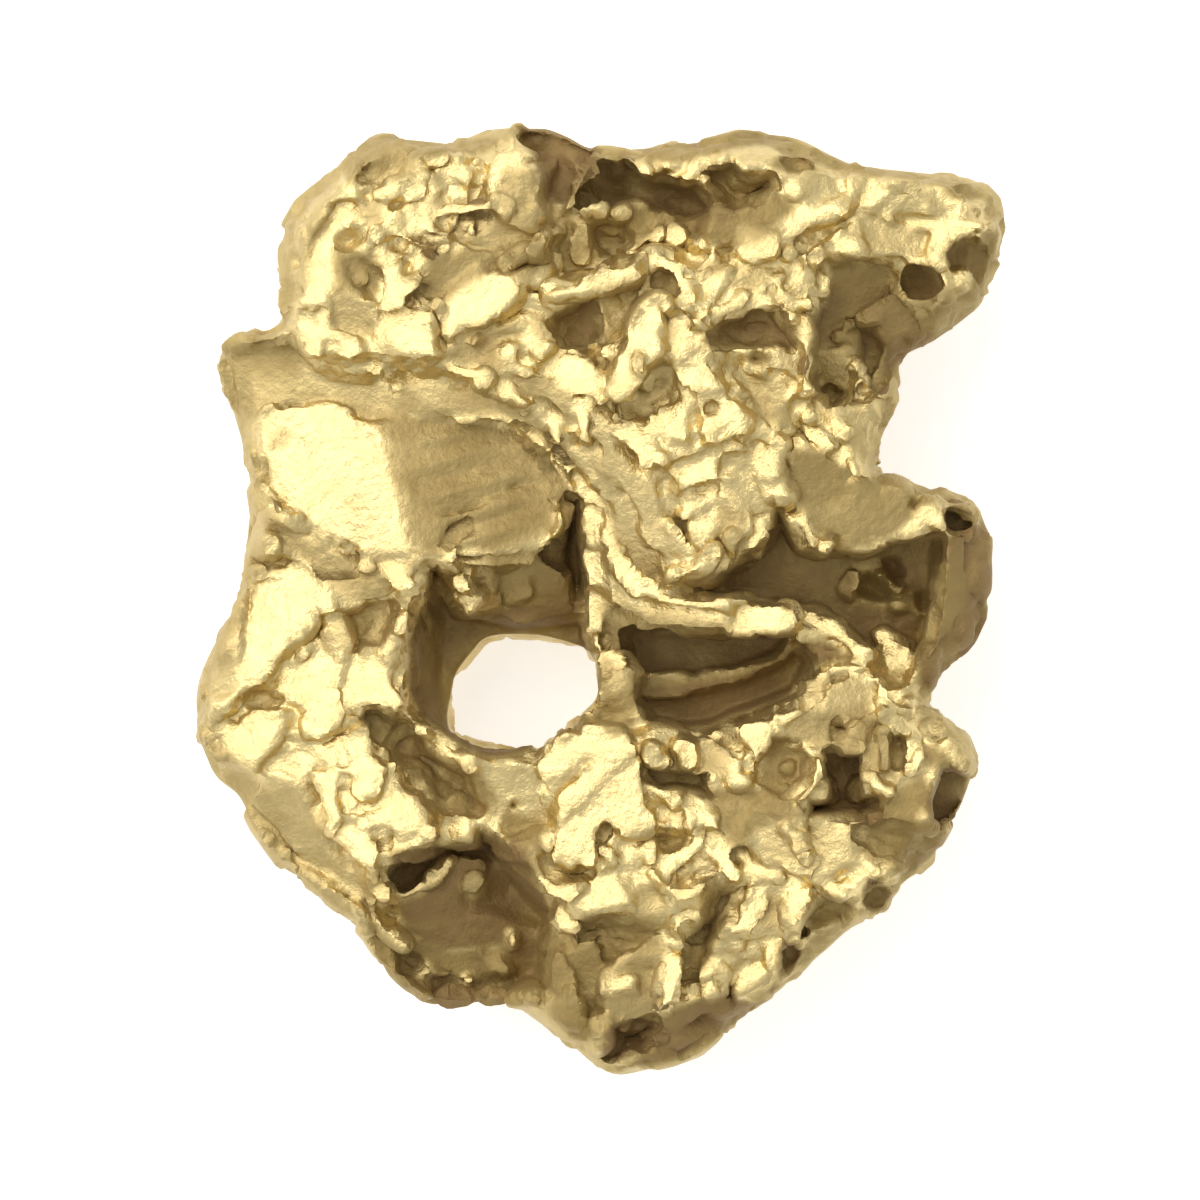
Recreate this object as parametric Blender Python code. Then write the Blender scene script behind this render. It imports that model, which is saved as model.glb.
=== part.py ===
"""A placer gold nugget: one flattened, hackly lump of native gold with a hole worn right through it.

The nugget is worked in millimetres, face up, and scaled to metres at the end. X runs across its
width, Y along its length and Z through its thickness. It is cast from a flat slab of its outline,
whose two faces are then shaped stroke by stroke: terraces and facets first, then lumps, ridges,
grooves and pits. A lip of metal hangs over the hole. Last, the back is worn flat where it rests.
"""

import math

import bmesh
import bpy
import numpy as np
from mathutils import Vector, noise

# Driving dimensions
LENGTH = 0.01525  # metres along Y
SLAB_MM = 2.4  # the flat slab that the two faces are shaped from
GRAIN_MM = 0.11  # spacing of the points that the strokes move
SKIN_MM = 0.14  # spacing of the skin that joins the lip to the body
TRIANGLES = 9200
NOISE_SEED = 7
WELD_MM = 0.004
GOLD = (0.66, 0.47, 0.16)
ROUGHNESS = 0.32

# Outline, clockwise from the left tip, in millimetres
OUTLINE = ((-6.13, 3.74), (-6.03, 4.08), (-5.76, 4.26), (-5.36, 4.35), (-5.15, 4.5), (-5.1, 4.78),
    (-5.12, 5.58), (-5.04, 6.06), (-4.86, 6.38), (-4.46, 6.69), (-4.1, 7.15), (-3.81, 7.3),
    (-3.5, 7.44), (-2.43, 7.36), (-2.1, 7.34), (-1.65, 7.54), (-1.33, 7.6), (-0.85, 7.58),
    (-0.53, 7.46), (-0.1, 7.25), (0.78, 7.25), (1.01, 7.31), (1.55, 7.31), (2.21, 7.49),
    (2.67, 7.49), (3.2, 7.42), (3.81, 7.12), (4.18, 6.99), (4.98, 6.9), (5.71, 6.83), (6.06, 6.75),
    (6.38, 6.42), (6.46, 5.95), (6.42, 5.55), (6.27, 5.06), (6.06, 4.69), (5.44, 4.22), (4.96, 3.98),
    (4.8, 3.73), (4.77, 3.2), (4.48, 2.46), (4.46, 2.14), (4.59, 2.03), (4.88, 1.98), (5.23, 1.81),
    (5.9, 1.63), (6.11, 1.47), (6.24, 1.02), (6.26, 0.27), (6.18, -0.26), (5.97, -0.66), (5.5, -1.2),
    (5.31, -1.46), (5.33, -1.68), (5.94, -2.22), (6.05, -2.58), (5.87, -3.25), (5.47, -3.89),
    (5.31, -4.19), (4.83, -4.59), (4.62, -4.98), (4.03, -5.18), (3.47, -5.65), (2.85, -6.32),
    (2.24, -6.75), (1.62, -7.25), (1.18, -7.42), (0.72, -7.55), (0.27, -7.62), (-0.14, -7.42),
    (-0.66, -6.94), (-0.9, -6.75), (-1.22, -6.51), (-1.62, -6.45), (-2.43, -6.51), (-2.83, -6.46),
    (-3.36, -6.08), (-3.73, -5.46), (-4.16, -4.99), (-5.14, -4.22), (-5.54, -3.68), (-5.81, -3.15),
    (-6.19, -2.82), (-6.43, -2.19), (-6.48, -1.42), (-6.22, -0.74), (-5.9, -0.19), (-5.65, 0.58),
    (-5.55, 1.34), (-5.65, 2.06), (-5.94, 3.17))
HOLE = ((-2.4, -1.55), (-2.32, -1.18), (-2.06, -0.83), (-1.78, -0.58), (-1.02, -0.56), (-0.42, -0.7),
    (-0.14, -0.86), (0.08, -1.36), (-0.06, -1.78), (-0.72, -2.22), (-1.09, -2.42), (-1.95, -2.38),
    (-2.38, -2.16), (-2.46, -1.86))

# The tongue at the flap's end, first point where it is highest
LIP = ((-1.62, 1.74), (-0.66, 1.68), (-0.43, 1.46), (-0.62, 0.94), (-1.3, 0.59), (-2.1, 0.53),
    (-2.51, 0.82), (-2.58, 1.26))
LIP_HEIGHT_MM = 3.05
LIP_DROOP = 0.45  # fall of the tongue away from its highest point

RIM_MM = 1.75  # height of the widest part of the rim
RIM_WANDER_MM = 0.9  # how far the rim wanders up and down along the outline
RIM_ROUND_MM = (0.72, 1.25)  # how far in the front and the back round over to the rim
RIM_SHARE = 0.24  # share of the thickness that is left at the rim itself

# Hackly facets: how wide they are and how steeply they lean, on the front and on the back
FRONT_HACKLE_MM = 0.55
FRONT_HACKLE_SLOPE = 0.5
BACK_HACKLE_MM = 1.15
BACK_HACKLE_SLOPE = 0.55
SIDE_HACKLE_MM = 1.3
SIDE_HACKLE_SLOPE = 0.7
SMOOTH_AREAS = (
    ((-6.02, 4.06), (-4.82, 4.3), (-2.9, 3.82), (-1.3, 3.26), (-0.02, 1.58), (-0.66, 1.58),
        (-0.9, 0.62), (-2.58, 0.62), (-4.82, 0.86), (-5.78, 1.9)),
    ((-0.21, 1.65), (0.38, 0.86), (0.94, 0.3), (3.26, -0.05), (3.26, -0.66), (0.14, -1.06)),
    ((2.96, 2.3), (3.18, 2.54), (4.3, 2.26), (5.42, 1.78), (6.14, 1.39), (5.34, 0.86), (4.3, 0.75),
        (3.31, 1.14)),
)


def smooth_step(t):
    t = np.clip(t, 0.0, 1.0)
    return t * t * (3.0 - 2.0 * t)


def line_distance(points, line, closed=False):
    """Distance from each point to a broken line, and how far along it (0 to 1) the nearest place is."""
    corners = np.array(line)
    starts = corners if closed else corners[:-1]
    ends = np.roll(corners, -1, axis=0) if closed else corners[1:]
    lengths = np.hypot(*(ends - starts).T)
    travelled = np.concatenate(([0.0], np.cumsum(lengths)))
    best = np.full(len(points), 1e9)
    along = np.zeros(len(points))
    for start, end, length, before in zip(starts, ends, lengths, travelled):
        step = (end - start) / length
        reach = np.clip((points - start) @ step, 0.0, length)
        gap = np.hypot(*(points - start - reach[:, None] * step).T)
        nearer = gap < best
        best[nearer] = gap[nearer]
        along[nearer] = (before + reach[nearer]) / travelled[-1]
    return best, along


def depth_inside(points, corners):
    """Distance to the edge of a polygon, positive inside it and negative outside."""
    edge, _ = line_distance(points, corners, closed=True)
    x, y = points.T
    inside = np.zeros(len(points), bool)
    for (x0, y0), (x1, y1) in zip(corners, corners[1:] + corners[:1]):
        if y0 != y1:
            crosses = (y0 > y) != (y1 > y)
            inside ^= crosses & (x < (x1 - x0) * (y - y0) / (y1 - y0) + x0)
    return np.where(inside, edge, -edge)


def hackle(points, width, slope, seed):
    """Small flat facets side by side, each leaning its own way and fading out at its border."""
    heights = np.zeros(len(points))
    for place, point in enumerate(points):
        spot = Vector((*point, 0.0)[:3]) / width + Vector((0.0, 0.0, seed))
        distances, centres = noise.voronoi(spot)
        lean = noise.noise_vector(centres[0] * 5.7)
        fall = (spot - centres[0]).dot(lean)
        border = min((distances[1] - distances[0]) / 0.25, 1.0)
        heights[place] = slope * width * fall * border
    return heights


class Face:
    """One face of the nugget: the height z of every point (x, y), shaped by strokes in millimetres.

    `faces` is the compass direction that a plane leans to, in degrees from +X, and `slope` its fall.
    """

    def __init__(self, points, height):
        self.points = points
        self.z = np.full(len(points), height)

    def near(self, corners, reach):
        low = np.min(corners, axis=0) - reach
        high = np.max(corners, axis=0) + reach
        return np.flatnonzero(np.all((self.points > low) & (self.points < high), axis=1))

    def plane(self, corners, top, faces, slope, soft, blend):
        near = self.near(corners, soft)
        points = self.points[near]
        share = smooth_step(depth_inside(points, corners) / soft + 0.5)
        lean = np.array([math.cos(math.radians(faces)), math.sin(math.radians(faces))])
        if blend:
            top += np.average(self.z[near], weights=share + 1e-9)
        flat = top - slope * ((points - np.mean(corners, axis=0)) @ lean)
        self.z[near] += share * (flat - self.z[near])

    def terrace(self, corners, top, faces=0.0, slope=0.0, soft=0.3):
        """Brings the area inside the corners to a plane at the given height."""
        self.plane(corners, top, faces, slope, soft, False)

    def facet(self, corners, faces, slope, lift=0.0, soft=0.14):
        """Cuts the area inside the corners flat, through the mean of what stands there."""
        self.plane(corners, lift, faces, slope, soft, True)

    def lump(self, centre, size, height, turn=0.0):
        """Raises a round knob, or sinks a round dish if the height is negative."""
        near = self.near([centre], max(size))
        across, up = (self.points[near] - centre).T
        c, s = math.cos(math.radians(turn)), math.sin(math.radians(turn))
        radius = np.hypot((across * c + up * s) / size[0], (up * c - across * s) / size[1])
        self.z[near] += height * np.sqrt(np.clip(1.0 - radius**2, 0.0,
            1.0)) * smooth_step(3.0 - 3.0 * radius)

    def pit(self, centre, size, depth, turn=0.0):
        """Sinks a pit with a flat floor and steep walls."""
        near = self.near([centre], max(size))
        across, up = (self.points[near] - centre).T
        c, s = math.cos(math.radians(turn)), math.sin(math.radians(turn))
        radius = np.hypot((across * c + up * s) / size[0], (up * c - across * s) / size[1])
        self.z[near] -= depth * smooth_step(2.2 * (1.0 - radius))

    def ridge(self, line, width, height, ends=0.15):
        """Raises a rounded ridge along a line, or sinks a groove if the height is negative."""
        near = self.near(line, width)
        gap, along = line_distance(self.points[near], line)
        taper = smooth_step(np.minimum(along, 1.0 - along) / ends) if ends else 1.0
        self.z[near] += height * taper * (1.0 - smooth_step(gap / width))


def shape_upper_left_lobe(face):
    face.terrace(((-4.82, 6.3), (-4.02, 7.1), (-1.94, 7.26), (-0.98, 7.18), (-0.66, 6.14),
        (-0.85, 4.94), (-1.3, 3.98), (-2.58, 3.63), (-4.1, 3.7), (-4.77, 4.22)), 4.1, 120, 0.1, 0.9)
    face.facet(((-4.77, 6.14), (-4.29, 6.42), (-4.02, 5.98), (-4.22, 4.94), (-4.18, 3.78),
        (-4.74, 3.95)), 165, 0.75, -0.05, 0.2)
    face.facet(((-4.26, 5.18), (-3.66, 5.18), (-3.66, 4.22), (-4.14, 4.06)), 250, 0.5, -0.15)
    face.facet(((-3.57, 5.39), (-2.7, 5.49), (-2.67, 4.66), (-3.5, 4.59)), 130, 0.45, 0.12)
    face.facet(((-3.6, 4.5), (-2.53, 4.59), (-2.58, 3.82), (-3.34, 3.73)), 150, 0.4, 0.08)
    face.pit((-4.02, 5.74), (0.26, 0.26), 0.3)
    face.pit((-3.66, 5.2), (0.2, 0.42), 0.35, 10)
    face.facet(((-3.89, 6.67), (-3.54, 7.34), (-2.98, 7.18), (-3.02, 6.67)), 70, 0.8, -0.15)
    face.lump((-2.42, 6.9), (0.62, 0.5), 0.3)
    face.pit((-2.61, 6.9), (0.2, 0.26), 0.4)
    face.lump((-2.16, 6.77), (0.2, 0.24), 0.22)
    face.pit((-1.87, 6.78), (0.14, 0.3), 0.3)
    face.pit((-3.23, 6.3), (0.26, 0.2), 0.3)
    face.ridge(((-3.22, 5.98), (-2.74, 5.74), (-2.1, 5.74)), 0.2, -0.22)
    face.facet(((-1.73, 7.34), (-1.14, 7.46), (-0.9, 6.94), (-1.14, 6.46), (-1.65, 6.62)),
        135, 0.5, 0.1)
    face.facet(((-2.45, 5.07), (-1.22, 5.04), (-1.3, 4.59), (-1.9, 4.5), (-2.38, 4.24)), 120, 0.35, 0.2)
    face.lump((-1.82, 5.15), (0.3, 0.3), 0.2)
    face.pit((-1.7, 5.94), (0.6, 0.3), 0.3, -8)
    face.ridge(((-2.1, 4.14), (-1.78, 4.4), (-1.38, 4.34), (-1.26, 3.98)), 0.2, -0.3)
    face.lump((-1.46, 3.98), (0.22, 0.22), 0.2)
    face.lump((-0.96, 3.95), (0.2, 0.24), 0.2)


def shape_top_hollow(face):
    face.terrace(((-0.42, 6.38), (0.86, 6.38), (0.98, 5.58), (0.22, 5.39), (-0.42, 5.39)),
        3.3, 270, 0.3, 0.35)
    face.terrace(((-1.23, 7.38), (-0.88, 7.5), (-0.02, 7.15), (0.62, 6.93), (1.58, 6.8),
        (1.94, 6.54), (1.78, 6.19), (0.62, 6.16), (-0.18, 6.29), (-0.66, 6.38), (-1.07, 6.51)),
        2.3, 300, 0.35, 0.32)
    face.ridge(((-0.02, 7.18), (-0.37, 6.7), (-0.62, 6.22)), 0.2, 0.9, 0.1)
    face.ridge(((0.02, 7.15), (0.56, 7.12), (0.88, 6.86), (1.3, 6.9), (1.62, 7.12)), 0.17, 0.55, 0.1)
    face.lump((-0.02, 5.9), (0.24, 0.4), 0.35)
    face.lump((1.23, 5.94), (0.28, 0.26), 0.4)
    face.lump((1.62, 5.7), (0.24, 0.24), 0.35)


def shape_ledge(face):
    face.terrace(((-0.9, 5.02), (0.86, 5.39), (0.98, 4.78), (0.62, 4.06), (-0.66, 3.98),
        (-0.9, 4.3)), 3.5, 250, 0.25, 0.3)
    face.ridge(((-2.74, 4.91), (-1.78, 4.94), (-0.82, 5.04), (0.3, 5.3), (0.86, 5.52)), 0.24, 0.75, 0.1)
    face.lump((0.14, 4.06), (0.26, 0.2), 0.3)
    face.pit((0.98, 5.17), (0.2, 0.26), 0.45)
    face.lump((1.34, 4.91), (0.2, 0.22), 0.3)


def shape_centre_block(face):
    face.terrace(((-0.05, 3.18), (0.34, 4.14), (0.9, 4.78), (1.82, 4.7), (2.22, 3.18), (3.06, 2.54),
        (2.78, 1.26), (1.9, 0.22), (1.1, 0.11), (0.5, 0.62), (0.05, 1.74)), 4.2, 240, 0.16, 0.5)
    face.facet(((-0.85, 3.95), (0.06, 4.06), (0.18, 3.31), (-0.02, 2.54), (-0.42, 2.7),
        (-0.82, 3.42)), 150, 0.5, 0.1, 0.2)
    face.ridge(((0.18, 3.22), (0.56, 4.02), (0.9, 4.69), (1.42, 4.14), (1.84, 3.22)), 0.28, 0.6, 0.1)
    face.pit((0.67, 3.31), (0.42, 0.5), 0.65)
    face.facet(((0.18, 2.86), (1.07, 2.9), (1.14, 2.14), (0.46, 2.06), (0.18, 2.38)), 130, 0.45, 0.1)
    face.facet(((1.2, 3.15), (1.68, 3.22), (1.87, 2.54), (1.26, 2.45)), 120, 0.5, 0.1)
    face.facet(((1.14, 2.35), (1.94, 2.38), (1.94, 1.71), (1.2, 1.68)), 140, 0.4, 0.08)
    face.facet(((0.08, 2.03), (1.42, 1.94), (1.58, 0.94), (1.1, 0.43), (0.53, 0.69), (0.18, 1.26)),
        225, 0.7, -0.1, 0.25)
    face.facet(((2.42, 2.51), (2.93, 2.54), (2.96, 1.71), (2.48, 1.68)), 140, 0.45, 0.1)
    face.facet(((1.49, 1.46), (1.94, 1.49), (1.94, 0.88), (1.52, 0.85)), 150, 0.5, 0.1)
    face.lump((2.24, 1.07), (0.3, 0.32), 0.4)
    face.pit((1.79, 3.1), (0.14, 0.14), 0.25)


def shape_eye_pits(face):
    face.terrace(((1.58, 4.94), (3.42, 4.94), (3.5, 3.18), (3.02, 2.78), (2.26, 3.18), (1.84, 3.98)),
        4.15, 200, 0.1, 0.4)
    face.pit((2.11, 4.3), (0.48, 0.42), 1.1, 10)
    face.pit((2.93, 4.3), (0.4, 0.48), 1.1, -15)
    face.lump((2.5, 3.95), (0.2, 0.2), 0.3)
    face.ridge(((1.58, 4.5), (2.06, 4.98), (2.62, 4.94), (3.18, 4.72)), 0.2, 0.3, 0.1)
    face.ridge(((3.15, 4.62), (3.38, 4.06), (3.31, 3.42)), 0.2, 0.35, 0.1)
    face.facet(((2.51, 3.5), (3.18, 3.54), (3.22, 2.86), (2.67, 2.8)), 250, 0.4, -0.1)


def shape_upper_right_lobe(face):
    face.terrace(((1.82, 7.18), (3.98, 7.06), (6.14, 6.62), (6.26, 5.1), (5.18, 4.38), (4.78, 5.39),
        (3.66, 5.39), (2.7, 4.91), (1.58, 5.39)), 3.9, 60, 0.1, 0.7)
    face.terrace(((1.94, 6.96), (2.77, 6.93), (2.9, 6.38), (2.14, 6.19), (1.94, 6.45)),
        2.7, 300, 0.4, 0.3)
    face.pit((3.12, 6.98), (0.3, 0.16), 0.4)
    face.lump((3.12, 6.58), (0.24, 0.2), 0.35)
    face.facet(((2.19, 5.97), (2.86, 6.03), (2.9, 5.36), (2.26, 5.3)), 130, 0.45, 0.15)
    face.ridge(((2.96, 5.58), (3.38, 5.78), (3.92, 6.13)), 0.16, -0.55, 0.1)
    face.ridge(((2.94, 5.97), (3.42, 6.19), (3.98, 6.48)), 0.18, 0.32, 0.1)
    face.ridge(((3.22, 5.39), (3.79, 5.65), (4.34, 5.74)), 0.18, 0.28, 0.1)
    face.lump((4.88, 6.64), (0.4, 0.18), 0.25)
    face.ridge(((3.98, 6.45), (4.78, 6.16), (5.42, 6.06)), 0.18, 0.25, 0.1)
    face.facet(((4.14, 6.3), (5.3, 6), (5.23, 5.49), (4.27, 5.68)), 90, 0.3, -0.08)
    face.pit((5.17, 5.09), (0.36, 0.34), 0.9)
    face.pit((5.94, 5.49), (0.36, 0.42), 0.8, -20)
    face.ridge(((5.26, 5.36), (5.55, 5.94), (6.29, 6)), 0.2, 0.3, 0.1)
    face.lump((5.84, 5.17), (0.24, 0.24), 0.2)
    face.pit((5.9, 6.58), (0.28, 0.13), 0.3, -8)


def shape_right_hollow(face):
    face.terrace(((3.57, 5.39), (4.66, 5.39), (4.98, 4.75), (5.42, 4.24), (4.83, 3.79), (4.56, 3.18),
        (4.34, 2.42), (3.95, 2.54), (3.79, 3.06), (3.41, 3.34), (3.38, 4.46)), 2.7, 280, 0.35, 0.3)
    face.terrace(((3.54, 5.23), (4.56, 5.26), (4.85, 4.7), (5.18, 4.3), (4.7, 3.95), (3.9, 4.06),
        (3.47, 4.46)), 2.9, 300, 0.55, 0.3)
    face.facet(((3.47, 4.06), (3.95, 4.06), (4.02, 3.06), (3.6, 3.12)), 200, 0.5, 0.15)
    face.ridge(((4.03, 3.95), (4.27, 3.47), (4.43, 3.63)), 0.18, 0.3, 0.1)
    face.ridge(((4.59, 3.26), (4.4, 2.78), (4.27, 2.3)), 0.2, 0.6, 0.1)


def shape_right_middle_lobe(face):
    face.terrace(((2.96, 2.3), (3.18, 2.54), (4.3, 2.26), (5.42, 1.78), (6.14, 1.39), (6.13, 0.94),
        (5.34, 0.86), (4.3, 0.75), (3.31, 1.14), (2.9, 1.58)), 3.75, 70, 0.07, 0.35)
    face.terrace(((1.33, 0.27), (2.62, 0.75), (2.94, 1.46), (3.31, 1.02), (4.3, 0.82), (5.34, 1.01),
        (5.49, 0.62), (5.23, -0.66), (4.38, -0.69), (3.66, -0.3), (2.3, -0.11)), 2.1, 300, 0.25, 0.3)
    face.facet(((5.39, 0.86), (6.14, 1.1), (6.19, -0.18), (5.5, -1.17), (5.26, -0.66)),
        345, 0.8, -0.2, 0.25)
    face.lump((4.53, 0.24), (0.5, 0.34), 0.45)
    face.pit((4.53, 0.18), (0.22, 0.16), 0.35)
    face.facet(((3.38, 2.3), (3.98, 2.26), (3.98, 1.5), (3.38, 1.58)), 300, 0.2, -0.12)
    face.ridge(((3.02, 1.39), (3.38, 0.98), (4.3, 0.78), (4.86, 1.07), (5.36, 1.33)), 0.2, 0.25, 0.1)
    face.lump((5.39, 1.46), (0.22, 0.22), 0.22)
    face.pit((5.81, 1.31), (0.26, 0.16), 0.35)
    face.lump((4.74, -0.82), (0.32, 0.28), 0.4)
    face.ridge(((3.34, -0.4), (3.74, -0.37), (4.02, -0.59), (4.34, -0.94)), 0.17, 0.5, 0.1)


def shape_flap(face):
    face.terrace(((-6.02, 4.06), (-4.82, 4.3), (-3.22, 3.95), (-1.62, 3.5), (-0.66, 2.7),
        (-0.18, 1.9), (-0.66, 1.58), (-3.22, 2.06), (-5.78, 2.54)), 3.35, 160, 0.16, 0.4)
    face.terrace(((-5.81, 3.5), (-4.82, 3.18), (-3.57, 2.78), (-2.1, 2.9), (-1.22, 2.67),
        (-0.56, 2.06), (-0.37, 1.62), (-0.74, 1.02), (-1.62, 0.62), (-2.5, 0.62), (-3.18, 0.75),
        (-4.02, 0.78), (-4.98, 1.26), (-5.42, 1.66), (-5.68, 2.3)), 3.3, 150, 0.12, 0.16)
    face.facet(((-5.42, 3.14), (-4.18, 3.15), (-3.57, 2.78), (-3.41, 2.38), (-3.22, 1.74),
        (-3.18, 0.78), (-4.02, 0.78), (-4.98, 1.26), (-5.42, 1.62), (-5.62, 2.06), (-5.65, 2.54)),
        150, 0.3, -0.02, 0.3)
    face.facet(((-5.97, 4.06), (-4.82, 4.22), (-3.22, 3.86), (-1.62, 3.31), (-2.1, 2.96),
        (-3.54, 2.86), (-4.18, 3.18), (-5.42, 3.18), (-5.78, 3.18)), 95, 0.3, -0.1, 0.16)
    face.ridge(((-2.26, 2.93), (-1.62, 2.93), (-1.17, 2.74), (-0.72, 2.3), (-0.27, 1.84),
        (-0.06, 1.5)), 0.16, 0.32, 0.1)
    face.ridge(((-3.54, 3.63), (-2.58, 3.5), (-1.62, 3.15), (-0.9, 2.54)), 0.22, 0.2, 0.2)
    face.facet(((-5.54, 1.26), (-4.82, 0.94), (-4.1, 0.69), (-3.22, 0.62), (-3.18, 0.11),
        (-4.18, 0.11), (-5.3, 0.62)), 240, 0.9, -0.35, 0.2)
    face.lump((-3.3, 0.43), (0.42, 0.24), 0.35, -25)


def shape_strip(face):
    face.terrace(((-0.56, 1.65), (-0.18, 1.58), (0.05, 0.62), (0.62, -0.18), (1.58, -0.66),
        (1.58, -1.06), (0.34, -0.98), (-0.18, -0.66), (-0.53, 0.62)), 1.9, 0, 0.0, 0.22)
    face.terrace(((0.18, -0.3), (0.62, -0.37), (3.02, -0.4), (3.02, -0.9), (2.06, -1.2),
        (0.62, -1.1), (0.08, -0.82)), 2.0, 0, 0.0, 0.2)
    face.terrace(((0.62, -1.04), (1.58, -1.17), (3.02, -1.1), (3.42, -1.46), (3.02, -1.97),
        (1.58, -2.06), (0.7, -1.87), (0.18, -1.46)), 2.2, 110, 0.2, 0.3)
    face.terrace(((-0.18, 1.58), (0.05, 1.62), (0.34, 0.86), (0.86, 0.27), (1.9, 0.02),
        (3.15, -0.08), (3.28, -0.37), (3.02, -0.59), (1.9, -0.59), (0.78, -0.4), (0.08, -0.27),
        (-0.18, 0.3)), 3.3, 240, 0.25, 0.14)
    face.ridge(((-0.11, 1.52), (0.08, 0.86), (0.53, 0.3), (1.42, -0.05), (2.54, -0.18),
        (3.18, -0.24)), 0.22, 0.4, 0.04)
    face.ridge(((-0.11, 1.26), (-0.08, -0.02), (0.08, -0.66), (0.24, -0.98)), 0.2, 0.25, 0.08)
    face.lump((3.02, -0.27), (0.32, 0.26), 0.3)


def shape_hole_walls(face):
    face.terrace(((-3.18, 0.5), (-2.58, 0.86), (-0.26, 1.26), (0.18, 0.62), (0.18, -0.98),
        (-0.02, -1.94), (-0.98, -2.66), (-2.1, -2.66), (-2.82, -2.34), (-3.22, -1.62),
        (-3.3, -0.34)), 2.2, 0, 0.0, 0.3)
    face.terrace(((-2.7, -0.02), (-2.1, 0.14), (-0.26, 0.22), (0.18, -0.66), (0.14, -1.62),
        (-0.66, -2.34), (-2.1, -2.45), (-2.58, -2.1), (-2.77, -1.3)), 1.5, 0, 0.0, 0.5)
    face.terrace(((-2.5, 0.62), (-0.98, 0.7), (-0.34, 0.38), (-0.26, -0.42), (-1.3, -0.46),
        (-2.34, -0.3)), 2.5, 275, 0.5, 0.2)
    face.ridge(((-2.45, 0.7), (-2.1, 0.14), (-1.62, -0.08)), 0.26, 0.4, 0.15)


def shape_left_lobe(face):
    face.terrace(((-5.58, 0.43), (-3.22, 0.62), (-3.02, -0.66), (-2.9, -1.62), (-3.22, -2.26),
        (-4.82, -2.82), (-6.18, -2.9), (-6.34, -1.46), (-6.06, -0.42)), 3.3, 160, 0.12, 0.5)
    face.facet(((-5.62, 0.37), (-4.74, 0.43), (-4.24, 0.08), (-4.58, -0.42), (-5.3, -1.14),
        (-6.22, -1.97), (-6.19, -0.98)), 140, 0.42, 0.05, 0.2)
    face.ridge(((-5.01, -1.46), (-5.65, -1.65), (-6.06, -2)), 0.22, -0.4, 0.15)
    face.lump((-4.66, -1.36), (0.44, 0.52), 0.4)
    face.lump((-3.66, -1.36), (0.5, 0.48), 0.4)
    face.facet(((-4.82, -1.71), (-4.11, -1.68), (-4.14, -2.18), (-4.75, -2.22)), 140, 0.5, 0.05)
    face.facet(((-6.18, -1.84), (-5.14, -1.81), (-5.01, -2.42), (-5.42, -2.86), (-6.06, -2.74)),
        140, 0.45, 0.08, 0.2)
    face.pit((-3.7, -0.34), (0.5, 0.34), 0.5)


def shape_lower_left_block(face):
    face.terrace(((-4.82, -2.58), (-4.02, -2.29), (-3.41, -2.74), (-2.58, -3.7), (-2.74, -4.02),
        (-3.7, -4.5), (-4.34, -3.86)), 3.7, 160, 0.3, 0.35)
    face.facet(((-4.74, -2.7), (-4.05, -2.53), (-3.57, -3.22), (-3.41, -4.21), (-3.98, -4.21),
        (-4.53, -3.41)), 150, 0.5, 0.05, 0.16)
    face.facet(((-3.92, -2.22), (-3.54, -2.29), (-2.74, -3.31), (-2.82, -3.86), (-3.34, -3.7)),
        60, 0.5, 0.02, 0.16)
    face.facet(((-6.22, -2.74), (-4.82, -2.7), (-4.53, -3.46), (-3.7, -4.5), (-3.73, -4.9),
        (-4.98, -4.18), (-5.7, -3.22)), 215, 0.7, -0.15, 0.25)
    face.ridge(((-4.1, -1.86), (-3.22, -2.29), (-2.64, -3.06), (-1.78, -3.63)), 0.5, -1.1, 0.12)
    face.ridge(((-3.14, -1.74), (-2.7, -2.19), (-2.02, -2.64)), 0.2, 0.35, 0.1)
    face.facet(((-2.58, -3.47), (-2, -3.44), (-1.97, -3.95), (-2.48, -3.98)), 140, 0.5, 0.2)


def shape_lower_pocket(face):
    face.terrace(((-3.47, -3.98), (-1.94, -3.79), (-0.98, -4.02), (-0.78, -4.82), (-0.9, -6.18),
        (-1.62, -6.42), (-2.58, -6.42), (-3.22, -6.02), (-3.66, -5.38), (-3.66, -4.66)),
        2.4, 290, 0.2, 0.4)
    face.terrace(((-3.41, -3.98), (-1.97, -3.89), (-1.9, -4.56), (-2.74, -4.66), (-3.34, -4.56)),
        1.8, 0, 0.0, 0.25)
    face.ridge(((-3.09, -4.75), (-2.74, -4.56), (-2.38, -4.24)), 0.18, 0.6, 0.1)
    face.ridge(((-3.86, -4.86), (-3.5, -5.17), (-3.18, -5.55)), 0.18, 0.35, 0.1)
    face.lump((-3.54, -4.59), (0.22, 0.24), 0.4)
    face.lump((-1.7, -5.9), (0.36, 0.28), 0.3)
    face.pit((-2.02, -4.59), (0.26, 0.32), 0.35)
    face.pit((-1.42, -5.5), (0.22, 0.28), 0.35)


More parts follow.
